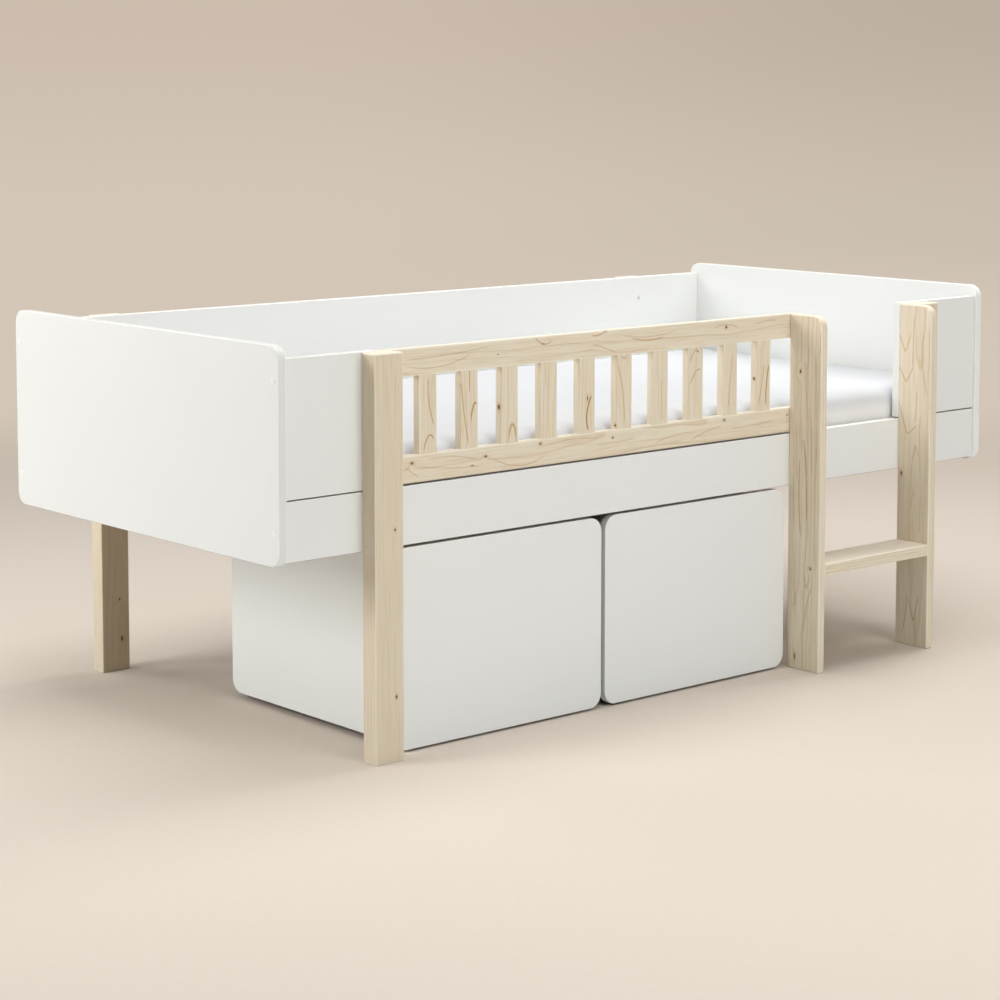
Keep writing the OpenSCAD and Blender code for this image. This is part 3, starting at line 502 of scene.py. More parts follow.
# %% Finish the two rails of the guard
TOP_RAIL_LINES = {
    "arch": [
        (776.7, -363, -0.22, 21.3, 24, 2.4, 0.6), (795.6, -300.7, -0.03, 0.0, 25, 2, 0.72),
        (751.7, -637.5, 0.07, 1.9, 86, 2, 0.42), (773.8, -608.3, 0.06, 0.3, 115, 2, 0.36),
        (785.1, -209, 0.19, 9.2, 22, 2.4, 0.72), (764.4, -71.3, -0.04, 2.6, 50, 2.4, 0.6),
        (771.4, -65.1, 0.0, 1.3, 83, 2, 0.36), (757.7, -195.9, -0.33, -1.5, 35, 2, 0.48),
        (781.4, 164.5, -0.03, -4.7, 40, 2, 0.48), (781.8, 286.9, 0.08, -2.5, 34, 2, 0.42),
    ],
}
BOTTOM_RAIL_LINES = {
    "arch": [
        (550.7, -704.5, -0.68, 6.0, 19, 2, 0.42), (549.8, -606, -0.09, 0.5, 84, 2, 0.36),
        (572, -600.3, -0.1, -1.5, 65, 2, 0.36), (536.2, -424.7, -0.03, 3.6, 77, 2, 0.42),
        (575.6, -283.5, 0.0, -0.9, 77, 2, 0.42), (558.2, -158.6, 0.04, 0.2, 59, 2, 0.36),
        (556.2, 13.8, 0.09, -1.9, 69, 2, 0.36), (555, 105.9, 0.24, -1.6, 51, 2, 0.48),
        (554.8, 248.6, 0.05, 0.6, 72, 2, 0.36),
    ],
}
TOP_RAIL_KNOTS = [
    (0.1643, 0.7761, 0.0035, 0.0028, 0.004), (-0.1917, 0.7915, 0.004, 0.002, 0.003),
    (-0.484, 0.7644, 0.0015, 0.0012, 0.001), (-0.3631, 0.7771, 0.0035, 0.001, 0.003),
]
# The last bottom rail entry is no knot. With no width it runs the whole rail as a dark brown band
# along its lowest millimetres: painted shade for the gap above the board.
BOTTOM_RAIL_KNOTS_AND_GAP_SHADE = [
    (-0.7036, 0.5684, 0.0034, 0.0026, 0.005), (-0.5162, 0.5635, 0.0032, 0.0024, 0.004),
    (-0.3709, 0.5748, 0.0032, 0.0024, 0.004), (-0.5507, 0.5486, 0.004, 0.001, 0.002),
    (-0.1699, 0.568, 0.003, 0.002, 0.003), (0.1605, 0.5745, 0.0036, 0.0022, 0.004),
    (0.3595, 0.5683, 0.002, 0.0016, 0.002), (0.0, 0.5296, 0.0, 0.0016, 0.0),
]
pine_finish("guard_top_rail", "X", 21.3, (0.03, 0.045, 0), 0.0075, 0.006, 0.024, 0.6,
            [front_knot(*knot) for knot in TOP_RAIL_KNOTS], lines=TOP_RAIL_LINES)
pine_finish("guard_bottom_rail", "X", 24.8, (-0.02, 0.05, 0), 0.008, 0.005, 0.026, 0.6,
            [front_knot(*knot) for knot in BOTTOM_RAIL_KNOTS_AND_GAP_SHADE], lines=BOTTOM_RAIL_LINES)

# %% Finish the balusters and the guard's end post
BALUSTER_LINES = {
    "up": [
        (-660.9, 685.3, -0.15, 2.7, 52, 2.2, 0.72), (-557.7, 717.4, 0.0, 0.0, 23, 2.2, 0.72),
        (-571.8, 654.2, -0.15, 0.6, 67, 2.2, 0.72), (-243.4, 625.8, 0.13, 6.5, 39, 3.6, 1.0),
        (-141.3, 657.1, -0.14, -1.5, 66, 2.2, 0.66), (-28.4, 635.7, -0.03, 0.0, 49, 2.2, 0.42),
        (177.6, 657.9, 0.11, 0.4, 63, 2.2, 0.6), (291.8, 639.9, 0.09, 1.8, 49, 3, 0.96),
        (277.1, 641.7, 0.2, -1.1, 48, 2.2, 0.6),
    ],
    "arch": [
        (618.5, -661.6, 0.82, -109.6, 14, 3, 0.72), (668.7, -547.2, 2.1, -249.1, 8, 3.2, 1.0),
        (621.2, -445.7, -0.03, -253.7, 12, 4.4, 0.72), (731.1, -138.8, -0.02, 116.9, 8, 2, 0.72),
        (727.8, 66.1, 1.2, -36.9, 12, 2.4, 0.66), (686.1, 71.4, 0.97, -42.6, 17, 2.4, 0.66),
    ],
}
first_low, last_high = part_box("guard_balusters")
BALUSTERS, BALUSTER_W = 10, 0.043
BALUSTER_PITCH = (last_high.x - first_low.x - BALUSTER_W) / (BALUSTERS - 1)
pine_finish("guard_balusters", "Z", 31.0, (0.0, 0.05, 0), 0.0065, 0.01, 0.016, 0.45,
            [front_knot(0.0776, 0.7303, 0.002, 0.0022), front_knot(-0.2415, 0.656, 0.0016, 0.006),
             ((-0.4747, -0.436, 0.658), (0.003, 0.004, 0.006), 0.002),
             ((-0.1594, -0.44, 0.592), (0.002, 0.003, 0.003), 0.001),
             ((0.2609, -0.436, 0.656), (0.0016, 0.0034, 0.0034), 0.002)],
            pitch=BALUSTER_PITCH, first=first_low.x + BALUSTER_W / 2, lines=BALUSTER_LINES)
pine_finish("guard_end_post", "Z", 36.0, (0.07, 0.03, 0), 0.0045, 0.004, 0.012, 0.4)

# %% [markdown]
# The stiles are the widest pine faces in view, sawn near the middle of the tree, so that
# their rings draw nested arches. The left one ends in long narrow arches with a small
# knot below them, and the right one carries a row of pointed arches.

# %% Finish the ladder
LEFT_STILE_LINES = {
    "up": [
        (-491.2, 647.2, 0.08, -0.6, 49, 2, 0.42), (-502.3, 644.3, 0.04, -0.1, 91, 2, 0.36),
        (-494.9, 475.7, 0.11, 1.6, 46, 2.8, 0.66), (-468.4, 492.9, 0.04, 0.4, 67, 2, 0.42),
        (-510.8, 505.9, 0.04, 0.2, 74, 2.2, 0.48), (-526.1, 582.3, 0.02, 0.1, 133, 2, 0.42),
        (-533.8, 732.1, 0.01, 0.0, 26, 1.6, 0.6), (-479.6, 711.7, 0.02, 0.0, 54, 2, 0.3),
        (-475.9, 385.1, 0.03, -0.5, 93, 2.4, 0.72), (-497.2, 418.5, 0.05, 0.5, 89, 2.4, 0.72),
        (-460.4, 409.4, -0.01, -0.4, 96, 2, 0.42), (-523.6, 361.3, 0.0, -0.1, 158, 2, 0.42),
        (-500, 138.5, -0.2, -1.9, 57, 2.2, 0.6), (-465.5, 154.9, -0.2, 0.0, 18, 2, 0.6),
    ],
    "point": [
        (187, -500.5, 0.08, 341.8, 10, 2.2, 0.6),
    ],
    "arch": [
        (236.2, -510.9, -0.15, -59.5, 9, 2, 0.6),
    ],
}
RIGHT_STILE_LINES = {
    "point": [
        (685.1, -463, -0.16, 152.1, 18, 2.4, 0.6), (615.8, -466.7, -0.07, 78.9, 23, 2.4, 0.66),
        (495.2, -470.8, 1.07, 68.3, 30, 2.4, 0.6), (465.8, -498.5, -0.12, -507.9, 8, 2, 0.48),
        (61.7, -497.3, -0.31, 258.7, 16, 2.4, 0.66),
    ],
    "up": [
        (-486.6, 707.4, -0.02, 0.0, 62, 2.2, 0.6), (-497.5, 557.4, -0.06, 1.0, 39, 2.2, 0.54),
        (-513.6, 656.5, 0.11, -2.0, 78, 2, 0.48), (-534, 693.1, 0.0, 0.2, 60, 1.6, 0.48),
        (-488, 432.6, -0.12, -1.9, 44, 2, 0.42), (-507.8, 469.9, 0.01, -0.8, 78, 2, 0.42),
        (-488.6, 343, -0.14, 0.0, 26, 2, 0.42), (-512.3, 309.4, -0.02, 0.0, 48, 2, 0.42),
        (-474.5, 73.3, -0.15, 1.8, 51, 2.2, 0.6),
    ],
}
pine_finish("ladder_stile_left", "Z", 44.3, (0.06, 0.02, 0), 0.0052, -0.006, 0.012, 0.85,
            [side_knot(-0.4766, 0.6672, 0.0026, 0.0044),
             side_knot(-0.5119, 0.231, 0.003, 0.0026, 0.006),
             side_knot(-0.4676, 0.028, 0.002, 0.007)],
            lines=LEFT_STILE_LINES, face="side")
pine_finish("ladder_stile_right", "Z", 47.2, (0.05, -0.014, 0), 0.0085, -0.01, 0.016, 0.75,
            [side_knot(-0.456, 0.3998, 0.0024, 0.0056)],
            lines=RIGHT_STILE_LINES, face="side")
pine_finish("ladder_tread", "X", 52.6, (0.03, -0.035, 0), 0.0062, 0.012, 0.02, 0.8)

# %% [markdown]
# Under the mattress the wood is of a plainer grade: fourteen slats across the bed, and a
# ledger along each side rail that carries them.

# %% Finish the slats and the ledgers
slats_low, slats_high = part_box("bed_slats")
SLATS, SLAT_W = 14, 0.07
SLAT_PITCH = (slats_high.x - slats_low.x - SLAT_W) / (SLATS - 1)
FIRST_SLAT = slats_low.x + SLAT_W / 2
pine_finish("bed_slats", "Y", 61.0, (0.0, 0.04, 0), 0.006, 0.012, 0.02, 0.8,
            pitch=SLAT_PITCH, first=FIRST_SLAT)
pine_finish("ledger_front", "X", 66.0, (0.04, 0.03, 0), 0.0055, 0.006, 0.018, 0.7)
pine_finish("ledger_back", "X", 69.0, (-0.05, 0.02, 0), 0.0055, 0.006, 0.018, 0.7)

# %% [markdown]
# ## White lacquer
# The boards are sprayed with satin lacquer. Up close a sprayed coat has a faint orange
# peel and its sheen drifts a little. Its edges are painted paler, a painted highlight. The
# white leans a little to green and yellow. The undersides are coloured dark brown as
# unfinished board, which also paints shade into the gaps below the boards, so they read as dark
# lines.

# %% Build the lacquer group
DULL_TINT, CLEAR_TINT = (0.985, 0.985, 0.985, 1), (1.0, 1.0, 0.995, 1)
EDGE_HIGHLIGHT_WHITE = (0.93, 0.93, 0.91, 1)


def build_lacquer_skin():
    tree, given = open_group("lacquer_skin", Place=None, Seed=0.0, Edge=0.0,
                             White=(0.83, 0.835, 0.8, 1))
    place, seed, edge = given["Place"], given["Seed"], given["Edge"]
    drift = noise(place, 2.4, detail=3.0, seed=seed)
    tint = blend_colour(soft_step(drift, 0.3, 0.7), DULL_TINT, CLEAR_TINT)
    colour = blend_colour(1.0, given["White"], tint, "MULTIPLY")
    flecks = soft_step(noise(place, 900.0, detail=1.0, seed=seed), 0.25, 0.8, 0.975, 1.01)
    # Painted highlight: the edges are blended towards a paler white.
    colour = blend_colour(times(edge, 0.9), scale_vector(colour, flecks), EDGE_HIGHLIGHT_WHITE)
    peel = noise(place, 420.0, seed=seed)
    rough = times_plus(edge, -0.06, times_plus(drift, 0.14, 0.36))
    return close_group(tree, Colour=colour, Height=peel, Roughness=rough)


lacquer_skin = build_lacquer_skin()


# %% Finish the white boards
RAW_BOARD_AND_GAP_SHADE = (0.2, 0.14, 0.09, 1)


def lacquer_finish(name, seed, white):
    finish, tree, surface = new_finish("white_" + name)
    low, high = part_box(name)
    place = own_place(tree)
    edge = place_group(edge_mask, Place=place, Low_corner=low, High_corner=high, Reach=0.0024)
    skin = place_group(lacquer_skin, Place=place, Seed=seed, Edge=edge["Edge"], White=(*white, 1))
    # Partly painted shade: the bottom faces are coloured dark brown as unfinished board, which also
    # darkens the gaps below the boards.
    raw_and_gap_shade = soft_step(axes_of(place)[2], low.z + 0.0005, low.z + 0.0013, 1.0, 0.0)
    colour = blend_colour(raw_and_gap_shade, skin["Colour"], RAW_BOARD_AND_GAP_SHADE)
    join_surface(surface, colour, skin["Roughness"], skin["Height"], depth=0.00006,
                 strength=0.3, specular=0.4)
    dress(solid_parts[name], finish)


WHITE_BOARDS = ["left_end_panel", "right_end_panel", "front_side_rail", "back_side_rail",
                "front_board_left", "front_board_right", "back_board"]
for side in ("left", "right"):
    WHITE_BOARDS += [f"box_{side}_{part}" for part in ("front", "side_a", "side_b", "back", "base")]
LACQUER_WHITE = Vector((0.82, 0.828, 0.806))
# Painted light and shade: some boards get a lighter or darker copy of the white. The back board, back
# rail, right end panel and left box side are lighter, and the left end panel is darker.
PAINTED_LIGHT_AND_SHADE = {"back_board": 1.12, "back_side_rail": 1.12, "right_end_panel": 1.05,
             "left_end_panel": 0.94, "box_left_side_a": 1.04}
for count, board in enumerate(WHITE_BOARDS):
    lacquer_finish(board, 2.3 * count, LACQUER_WHITE * PAINTED_LIGHT_AND_SHADE.get(board, 1.0))
print("lacquered boards:", len(WHITE_BOARDS))

# %% [markdown]
# ## Metal, plastic and beech
# The fittings hardly show, but they close the bed's joints: zinc-plated screws and nuts,
# grey nylon wheels, white caps over the screws in the end panels, bolts with white
# enamelled heads and beech dowels. Steel is mottled, and moulded plastic has a fine grain.

# %% Build the mottle group
def build_mottle():
    tree, given = open_group(
        "mottle", Place=None, Coarse=60.0, Fine=1400.0, Dark=(0.4, 0.4, 0.4, 1),
        Light=(0.6, 0.6, 0.6, 1), Rough_low=0.3, Rough_high=0.5)
    place, least = given["Place"], given["Rough low"]
    coarse, fine = noise(place, given["Coarse"], detail=3.0), noise(place, given["Fine"])
    share = soft_step(times_plus(fine, 0.4, times(coarse, 0.6)), 0.3, 0.7)
    colour = blend_colour(share, given["Dark"], given["Light"])
    rough = times_plus(share, minus(given["Rough high"], least), least)
    return close_group(tree, Colour=colour, Height=fine, Roughness=rough)


mottle = build_mottle()


# %% Finish the fittings
def mottled_finish(name, dark, light, rough, metallic=0.0, coarse=60.0, fine=1400.0, depth=0.00004):
    finish, tree, surface = new_finish(name)
    spots = place_group(mottle, Place=own_place(tree), Coarse=coarse, Fine=fine, Dark=(*dark, 1),
                        Light=(*light, 1), Rough_low=rough[0], Rough_high=rough[1])
    join_surface(surface, spots["Colour"], spots["Roughness"], spots["Height"], depth,
                 strength=0.4)
    surface.inputs["Metallic"].default_value = metallic
    print("finish", name)
    return finish


zinc = mottled_finish("zinc_steel", (0.5, 0.51, 0.53), (0.66, 0.67, 0.68), (0.25, 0.42), 1.0)
nylon = mottled_finish("grey_nylon", (0.035, 0.036, 0.038), (0.055, 0.055, 0.058), (0.42, 0.58))
white_plastic = mottled_finish("white_cap_plastic", (0.8, 0.8, 0.77), (0.84, 0.84, 0.81), (0.28, 0.4))
beech = mottled_finish("turned_beech", (0.5, 0.33, 0.19), (0.66, 0.47, 0.3), (0.5, 0.65),
                       coarse=140.0, fine=900.0, depth=0.0001)
FITTINGS = {"frame_bolts": white_plastic, "screws": zinc, "nuts": zinc, "axles": zinc,
            "forks": zinc, "wheel": nylon, "caps": white_plastic, "dowels": beech}
for name, solid in solid_parts.items():
    finishes = [finish for word, finish in FITTINGS.items() if word in name]
    if finishes:
        dress(solid, finishes[0])

# %% [markdown]
# ## The mattress core
# The mattress is foam in a knitted cover. It starts as a block a little smaller than its
# space, with its corners rounded in edit mode. The block is remeshed evenly and blown up
# as cloth, so that its faces crown, and is then pressed flat where it lies on the slats.

# %% Helpers for modelling
def select_only(piece):
    if bpy.context.mode != "OBJECT":
        bpy.ops.object.mode_set(mode="OBJECT")
    bpy.ops.object.select_all(action="DESELECT")
    piece.select_set(True)
    bpy.context.view_layer.objects.active = piece


def fix_place(piece):
    select_only(piece)
    bpy.ops.object.transform_apply(location=True, rotation=True, scale=True)


def pick(piece, kind, wanted):
    """Picks the edges or faces that are wanted and leaves the piece in edit mode."""
    select_only(piece)
    bpy.ops.object.mode_set(mode="EDIT")
    bpy.ops.mesh.select_mode(type=kind)
    bpy.ops.mesh.select_all(action="DESELECT")
    bpy.ops.object.mode_set(mode="OBJECT")
    for part in piece.data.edges if kind == "EDGE" else piece.data.polygons:
        part.select = wanted(part)
    bpy.ops.object.mode_set(mode="EDIT")


def read_points(piece, what="co"):
    points = np.empty(len(piece.data.vertices) * 3)
    piece.data.vertices.foreach_get(what, points)
    return points.reshape(-1, 3)


def move_points(piece, points):
    piece.data.vertices.foreach_set("co", points.ravel())
    piece.data.update()


print("modelling helpers are ready")

# %% Block out the mattress core
CORNER_BEVEL, RIM_BEVEL = 0.034, 0.027
bed_low, bed_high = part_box("mattress")
core_low = Vector((bed_low.x - 0.002, bed_low.y + 0.002, bed_low.z))
core_high = Vector((bed_high.x + 0.002, bed_high.y - 0.002, bed_high.z - 0.005))
bpy.ops.mesh.primitive_cube_add(size=1, location=(core_low + core_high) / 2,
                                scale=core_high - core_low)
mattress_core = named("mattress_core")
fix_place(mattress_core)


def rise_of(edge):
    start, end = (mattress_core.data.vertices[v].co for v in edge.vertices)
    return abs(start.z - end.z)


pick(mattress_core, "EDGE", lambda edge: rise_of(edge) > 0.05)
bpy.ops.mesh.bevel(offset=CORNER_BEVEL, segments=8, affect="EDGES")
pick(mattress_core, "EDGE", lambda edge: rise_of(edge) < 0.001)
bpy.ops.mesh.bevel(offset=RIM_BEVEL, segments=6, affect="EDGES")
bpy.ops.object.mode_set(mode="OBJECT")
print("core block:", len(mattress_core.data.vertices), "points")

# %% Remesh the core and blow it up as cloth
MESH_GRAIN, MOST_SWELL, MOMENTS = 0.014, 0.008, 20
SWELLING = {"quality": 4, "mass": 0.4, "tension_stiffness": 30, "compression_stiffness": 30,
            "use_pressure": True, "uniform_pressure_force": 4}
mattress_core.data.remesh_voxel_size = MESH_GRAIN
bpy.ops.object.voxel_remesh()
flat_core = read_points(mattress_core)
swell = mattress_core.modifiers.new("swell", "CLOTH")
for setting, value in SWELLING.items():
    setattr(swell.settings, setting, value)
swell.settings.effector_weights.gravity = 0
for moment in range(1, MOMENTS + 1):
    bpy.context.scene.frame_set(moment)
bpy.ops.object.modifier_apply(modifier="swell")
bpy.context.scene.frame_set(1)
moved = read_points(mattress_core) - flat_core
print("cloth moved the core by up to", round(float(np.abs(moved).max()), 4), "m")
reach = np.linalg.norm(moved, axis=1, keepdims=True)
moved *= np.minimum(1.0, MOST_SWELL / np.maximum(reach, 1e-9))
move_points(mattress_core, flat_core + moved)

# %% Settle the core on the slats and smooth it
DRAWN_IN, TOP_ROOM = 0.0015, 0.003


def settle(points):
    """Keeps the core in its space, flat underneath, with sides that draw in along the middle."""
    half = (core_high - core_low) / 2
    centre = (core_high + core_low) / 2
    along, across = (np.clip((points[:, axis] - centre[axis]) / half[axis], -1, 1) for axis in (0, 1))
    settled = points.copy()
    settled[:, 1] -= np.sign(across) * DRAWN_IN * (np.abs(across) > 0.8) * (1 - along ** 4)
    return np.clip(settled, core_low, core_high + Vector((0, 0, TOP_ROOM)))


move_points(mattress_core, settle(read_points(mattress_core)))
rounder = mattress_core.modifiers.new("rounder", "SUBSURF")
rounder.levels = rounder.render_levels = 1
bpy.ops.object.modifier_apply(modifier="rounder")
bpy.ops.object.shade_smooth()
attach(mattress_core, "bed_frame")
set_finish(mattress_core, "bed_linen")
print("mattress core:", len(mattress_core.data.polygons), "faces")

# %% [markdown]
# ## The fitted sheet
# A fitted sheet is sewn to the mattress's shape, with elastic along its hem underneath. It
# is made from the core's own skin: copied, moved out by the thickness of the cloth, and
# opened underneath where the hem ends.

# %% Cut the fitted sheet from the core's skin
HEM_WIDTH = 0.085
select_only(mattress_core)
bpy.ops.object.duplicate()
fitted_sheet = named("fitted_sheet")
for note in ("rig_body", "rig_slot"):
    if note in fitted_sheet:
        del fitted_sheet[note]
fitted_sheet.parent = None


def open_below(face):
    x, y, z = face.center
    inside = min(x - core_low.x, core_high.x - x, y - core_low.y, core_high.y - y)
    return face.normal.z < -0.8 and inside > HEM_WIDTH


pick(fitted_sheet, "FACE", open_below)
bpy.ops.mesh.delete(type="FACE")
bpy.ops.object.mode_set(mode="OBJECT")
print("fitted sheet:", len(fitted_sheet.data.polygons), "faces")


# %% Lay soft folds into the sheet
STANDS_OFF, RIPPLE, DRIFT, CORNER_PULL = 0.0022, 0.0014, 0.0004, 0.0009


def sheet_folds(points):
    """How far the cloth lifts off the core: soft ripples near the rim, calm in the middle."""
    x, y, z = points.T
    rim_y = np.minimum(y - core_low.y, core_high.y - y)
    rim_x = np.minimum(x - core_low.x, core_high.x - x)
    rim = np.exp(-np.maximum(np.minimum(rim_x, rim_y), 0) / 0.09)
    side = np.clip((core_high.z - z) / (core_high.z - core_low.z), 0, 1)
    ripple = np.sin(x * 58 + 9 * np.sin(y * 7) + 2.2 * side) * np.sin(x * 21 + y * 13 + 1.3)
    drift = np.sin(x * 3.1 + 0.7) * np.sin(y * 5.3 - 0.4 + 1.2 * np.sin(x * 1.7))
    corner = np.exp(-(rim_x ** 2 + rim_y ** 2) / 0.02)
    pull = np.sin(np.arctan2(rim_y, rim_x + 1e-6) * 16)
    folds = RIPPLE * rim * (1 + ripple) + DRIFT * drift + CORNER_PULL * corner * (1 + pull)
    return STANDS_OFF + folds


cloth_points = read_points(fitted_sheet)
cloth_points += read_points(fitted_sheet, "normal") * sheet_folds(cloth_points)[:, None]
cloth_points[:, 2] = np.maximum(cloth_points[:, 2], bed_low.z)
move_points(fitted_sheet, cloth_points)
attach(fitted_sheet, "bed_frame")
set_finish(fitted_sheet, "bed_linen")
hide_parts("mattress")
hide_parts("mattress")

# %% [markdown]
# ## Cloth finishes
# The sheet is a plain cotton weave, with threads 0.4 mm apart. It is drawn from the
# sheet's own flat map, which is laid out from the top and folded down the sides, so that
# the threads keep their direction.

# %% Build the weave group
def build_weave():
    tree, given = open_group("plain_weave", Place=None, Thread_gap=0.0004)
    turns = calc("DIVIDE", math.pi, given["Thread gap"])
    warp, weft = [calc("SINE", times(axis, turns)) for axis in axes_of(given["Place"])[:2]]
    over = calc("GREATER_THAN", times(warp, weft), 0.0)
    warp_up, weft_up = calc("ABSOLUTE", warp), calc("ABSOLUTE", weft)
    height = plus(times(over, warp_up), times(minus(1.0, over), weft_up))
    slub = noise(given["Place"], 300.0, (1, 8, 1))
    return close_group(tree, Height=height,
                       Thread_shade=times_plus(height, 0.5, times(slub, 0.5)))


plain_weave = build_weave()


# %% Lay the cloth out flat as its map
def lay_out_flat(piece, low, high):
    """A UV map in metres: seen from above on top, and folded down along the sides."""
    layer = piece.data.uv_layers.new(name="cloth_map")
    points = read_points(piece)
    down = high.z - points[:, 2]
    flat = points[:, :2] + read_points(piece, "normal")[:, :2] * down[:, None]
    corner_points = np.empty(len(piece.data.loops), dtype=np.int32)
    piece.data.loops.foreach_get("vertex_index", corner_points)
    layer.data.foreach_set("uv", flat[corner_points].astype(np.float32).ravel())


lay_out_flat(fitted_sheet, bed_low, bed_high)
lay_out_flat(mattress_core, bed_low, bed_high)
print("cloth laid out flat")


# %% Finish the sheet and the core
def cloth_finish(name, dark, light, thread_gap, depth, sheen, roughness, side=None):
    finish, tree, surface = new_finish(name)
    cloth_map = add_node(tree, "UVMap", uv_map="cloth_map").outputs[0]
    weave = place_group(plain_weave, Place=cloth_map, Thread_gap=thread_gap)
    threads, place = weave["Thread shade"], own_place(tree)
    shade = times_plus(noise(place, 14.0, detail=3.0), 0.4, times(threads, 0.6))
    colour = blend_colour(soft_step(shade, 0.25, 0.75), (*dark, 1), (*light, 1))
    # Painted light: the sides, below the top's rim, get a lighter and warmer colour than the top.
    if side:
        down = soft_step(axes_of(place)[2], core_high.z - 0.05, core_high.z - 0.014, 1.0, 0.0)
        colour = blend_colour(down, colour, (*side, 1))
    rough = times_plus(threads, 0.1, roughness)
    join_surface(surface, colour, rough, weave["Height"], depth, strength=0.5, specular=0.2)
    fill_inputs(surface, {"Sheen Weight": sheen, "Sheen Roughness": 0.5})
    print("cloth", name)
    return finish


# The sheet's side colour is painted light, lighter and warmer than its top.
dress(fitted_sheet, cloth_finish("sheet_cotton", (0.615, 0.627, 0.645), (0.665, 0.677, 0.695),
                                 0.0004, 0.00006, 0.25, 0.8, side=(0.84, 0.834, 0.818)))
dress(mattress_core, cloth_finish("core_ticking", (0.66, 0.65, 0.62), (0.78, 0.77, 0.74),
                                  0.0012, 0.0003, 0.15, 0.82))

# %% [markdown]
# ## Webbing under the mattress
# Two straps of webbing keep the slats at their distance. A strap lies on every slat and
# sags a little between them. It starts as a flat strip that is cut across at short steps,
# lowered between the slats and then given its thickness.

# %% Model one strap and copy it
WEBBING_W, WEBBING_T, WEBBING_SAG = 0.025, 0.0012, 0.0035
STRAP_CUTS = 10 * SLATS
web_low, web_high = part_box("slat_webbing")
web_length = web_high.x - web_low.x


def strap_sag(x):
    slat = (x - FIRST_SLAT) / SLAT_PITCH
    beyond = np.maximum(np.abs(slat - np.round(slat)) * SLAT_PITCH - SLAT_W / 2, 0)
    open_half = (SLAT_PITCH - SLAT_W) / 2
    return WEBBING_SAG * np.sin(np.clip(beyond / open_half, 0, 1) * math.pi / 2) ** 1.5


bpy.ops.mesh.primitive_plane_add(size=1, location=(0, web_low.y + WEBBING_W / 2, web_low.z))
front_strap = named("webbing_front")
front_strap.scale = (web_length, WEBBING_W, 1)
fix_place(front_strap)
bpy.ops.object.mode_set(mode="EDIT")
bpy.ops.mesh.select_all(action="SELECT")
bpy.ops.mesh.subdivide(number_cuts=5)
for cut in range(1, STRAP_CUTS):
    bpy.ops.mesh.select_all(action="SELECT")
    bpy.ops.mesh.bisect(plane_co=(web_low.x + cut * web_length / STRAP_CUTS, 0, 0),
                        plane_no=(1, 0, 0))
bpy.ops.object.mode_set(mode="OBJECT")
points = read_points(front_strap)
points[:, 2] -= strap_sag(points[:, 0])
move_points(front_strap, points)
thick = front_strap.modifiers.new("thick", "SOLIDIFY")
thick.thickness = WEBBING_T
thick.offset = 1
bpy.ops.object.modifier_apply(modifier="thick")
select_only(front_strap)
bpy.ops.object.duplicate()
back_strap = named("webbing_back")
back_strap.location = (0, web_high.y - web_low.y - WEBBING_W, 0)
fix_place(back_strap)
for strap in (front_strap, back_strap):
    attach(strap, "bed_frame")
    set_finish(strap, "webbing")
    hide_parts("slat_webbing")
print("webbing straps:", len(front_strap.data.polygons), "faces each")


# %% Give the webbing its weave
def webbing_finish():
    finish, tree, surface = new_finish("grey_webbing")
    place = own_place(tree)
    weave = place_group(plain_weave, Place=place, Thread_gap=0.0016)
    dirt = noise(place, 30.0, detail=3.0)
    shade = times_plus(dirt, 0.35, times(weave["Thread shade"], 0.65))
    colour = blend_colour(soft_step(shade, 0.2, 0.8), (0.2, 0.195, 0.18, 1), (0.36, 0.35, 0.33, 1))
    join_surface(surface, colour, times_plus(dirt, 0.15, 0.7), weave["Height"], depth=0.0004,
                 strength=0.7)
    surface.inputs["Sheen Weight"].default_value = 0.1
    return finish


strap_weave = webbing_finish()
dress(front_strap, strap_weave)
dress(back_strap, strap_weave)
print("webbing woven")

# %% [markdown]
# ## The studio
# The bed stands on a plain warm floor that runs into a tall round wall of the same
# colour, so that no edge shows. Only the camera and reflections see the wall: light
# passes through it. Its glow is warm grey-beige at the floor, a little darker higher up,
# and darker again beyond the ladder end. The far floor takes on the same glow.

# %% Build the glow of the far floor and the wall
LOW_GLOW, HIGH_GLOW = (0.655, 0.568, 0.476, 1), (0.605, 0.505, 0.42, 1)
TOWARDS_LADDER_SIDE = (0.76, -0.65, 0.0)


def build_studio_glow():
    tree, given = open_group("studio_glow", Place=None)
    place = given["Place"]
    flat_place = calc_vector("MULTIPLY", place, (1, 1, 0))
    far = soft_step(calc_vector("LENGTH", flat_place, output="Value"), 6.0, 15.0)
    sideways = calc_vector("DOT_PRODUCT", place, TOWARDS_LADDER_SIDE, output="Value")
    side = times(soft_step(sideways, -2.2, 4.6), far)
    up = soft_step(axes_of(place)[2], 0.0, 2.0)
    kept = minus(1.0, times(side, times_plus(up, 0.07, 0.09)))
    return close_group(tree, Colour=scale_vector(blend_colour(up, LOW_GLOW, HIGH_GLOW), kept))


studio_glow = build_studio_glow()


# %% Helpers for what the camera sees, straight or in a reflection
def looked_at(tree):
    ray = add_node(tree, "LightPath").outputs
    looks = plus(ray["Is Camera Ray"], ray["Is Glossy Ray"])
    return calc("MINIMUM", plus(looks, ray["Is Transmission Ray"]), 1.0)


def glow_at(place):
    glow = place_group(studio_glow, Place=place)["Colour"]
    return add_node(place.id_data, "Emission", {"Color": glow, "Strength": 1.0})


def join_both(end, share, first, second):
    values = {0: share, 1: first.outputs[0], 2: second.outputs[0]}
    fill_inputs(end, {"Surface": add_node(end.id_data, "MixShader", values).outputs[0]})


print("studio helpers are ready")


# %% Lay the floor
FLOOR_DARK, FLOOR_LIGHT = (0.67, 0.595, 0.518, 1), (0.682, 0.607, 0.53, 1)
FLOOR_BOUNCE = (0.79, 0.775, 0.75, 1)
FADE_START, FADE_END = 1.6, 4.8


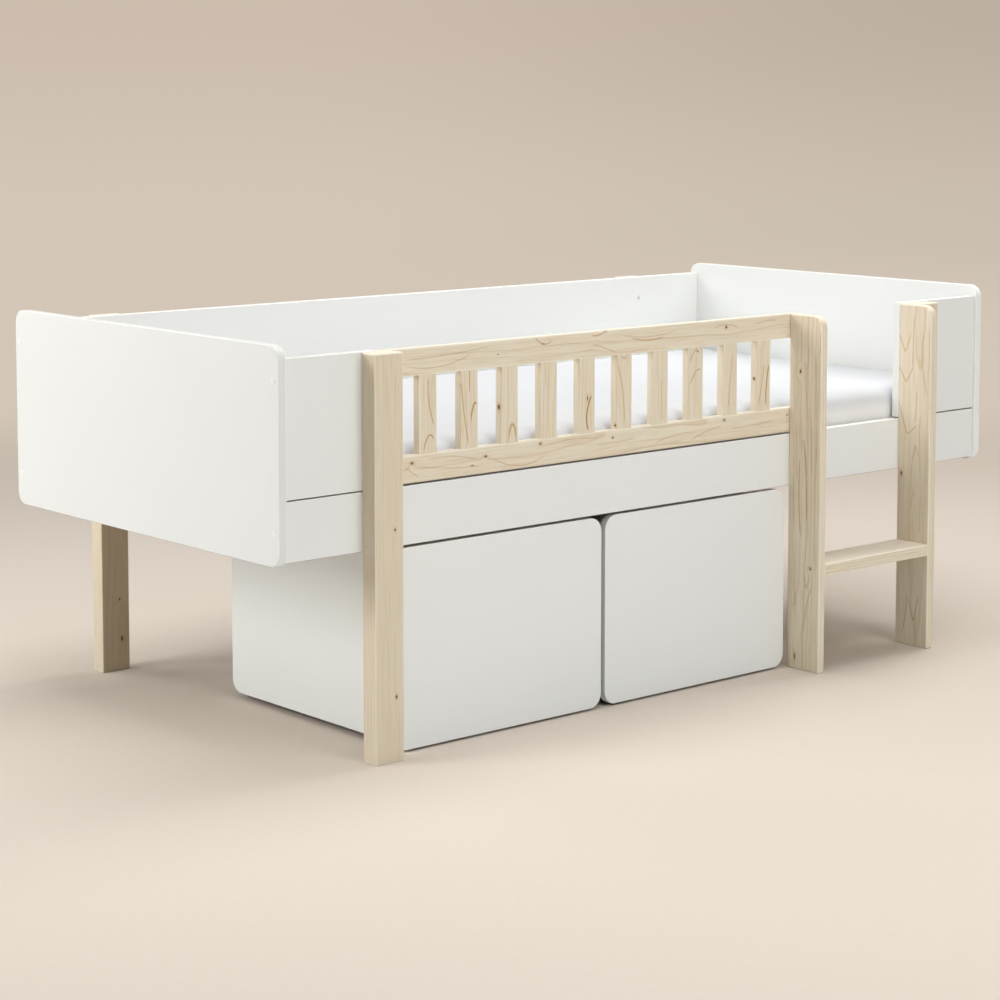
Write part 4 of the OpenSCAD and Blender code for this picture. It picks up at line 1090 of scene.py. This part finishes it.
def studio_floor_finish():
    finish, tree, surface = new_finish("warm_floor")
    place = own_place(tree)
    grain = noise(place, 55.0, detail=4.0)
    warm = blend_colour(soft_step(grain, 0.3, 0.7), FLOOR_DARK, FLOOR_LIGHT)
    colour = blend_colour(looked_at(tree), FLOOR_BOUNCE, warm)
    fill_inputs(surface, {"Base Color": colour, "Specular IOR Level": 0.15,
                          "Roughness": soft_step(grain, 0.2, 0.8, 0.8, 0.9)})
    fade = soft_step(calc_vector("LENGTH", place, output="Value"), FADE_START, FADE_END)
    join_both(tree.nodes["Material Output"], fade, surface, glow_at(place))
    return finish


WALL_RADIUS, WALL_HEIGHT = 16.0, 12.0
bpy.ops.mesh.primitive_circle_add(vertices=128, radius=WALL_RADIUS, fill_type="NGON")
studio_floor = named("studio_floor")
studio_floor.data.materials.append(studio_floor_finish())
print("floor radius", WALL_RADIUS, "m")


# %% Stand the wall round it
def studio_wall_finish():
    finish, tree, surface = new_finish("studio_wall")
    join_both(tree.nodes["Material Output"], looked_at(tree), add_node(tree, "BsdfTransparent"),
              glow_at(own_place(tree)))
    tree.nodes.remove(surface)
    return finish


bpy.ops.mesh.primitive_cylinder_add(vertices=128, radius=WALL_RADIUS, depth=WALL_HEIGHT,
                                    end_fill_type="NOTHING", location=(0, 0, WALL_HEIGHT / 2))
studio_wall = named("studio_wall")
fix_place(studio_wall)
studio_wall.data.materials.append(studio_wall_finish())
print("wall", WALL_HEIGHT, "m high")

# %% [markdown]
# The world itself gives no more than a trace of white light. Where the camera or a
# reflection looks past the wall, it shows the wall's upper colour instead.

# %% Set the world
WORLD_STRENGTH = 0.03
world = bpy.data.worlds.new("soft_room")
world.use_nodes = True
ambient = world.node_tree.nodes["Background"]
fill_inputs(ambient, {"Color": (1, 1, 1, 1), "Strength": WORLD_STRENGTH})
seen = add_node(world.node_tree, "Background", {"Color": HIGH_GLOW, "Strength": 1.0})
join_both(world.node_tree.nodes["World Output"], looked_at(world.node_tree), ambient, seen)
bpy.context.scene.world = world
print("world set")

# %% [markdown]
# Six square soft lamps hang round the bed, all aimed at its middle. A crisp one low on
# the left draws the long shadow of the end panel. One hangs high on the right, two in
# front, one behind on the left and a wide one overhead.

# %% Hang the lamps
LAMP_AIM, LAMP_DISTANCE = Vector((0, 0, 0.3)), 4.6


def soft_lamp(name, bearing, height, size, watts):
    """Bearing 0 is in front of the bed, 90 beyond the ladder end; height is an angle."""
    across, up = math.radians(bearing), math.radians(height)
    way = Vector((math.sin(across) * math.cos(up), -math.cos(across) * math.cos(up), math.sin(up)))
    bpy.ops.object.light_add(type="AREA", location=LAMP_AIM + way * LAMP_DISTANCE)
    lamp = named(name)
    lamp.rotation_euler = way.to_track_quat("Z", "Y").to_euler()
    lamp.data.shape = "SQUARE"
    lamp.data.size = size
    lamp.data.energy = watts
    print("lamp", name, watts, "W")


soft_lamp("left_low", 255, 20, 1.8, 92)
soft_lamp("back_left", 218, 36, 2.0, 42)
soft_lamp("front_low", 0, 22, 2.2, 65)
soft_lamp("front_left_high", 330, 48, 2.2, 33)
soft_lamp("right_high", 90, 50, 2.2, 106)
soft_lamp("overhead", 0, 89, 3.5, 102)
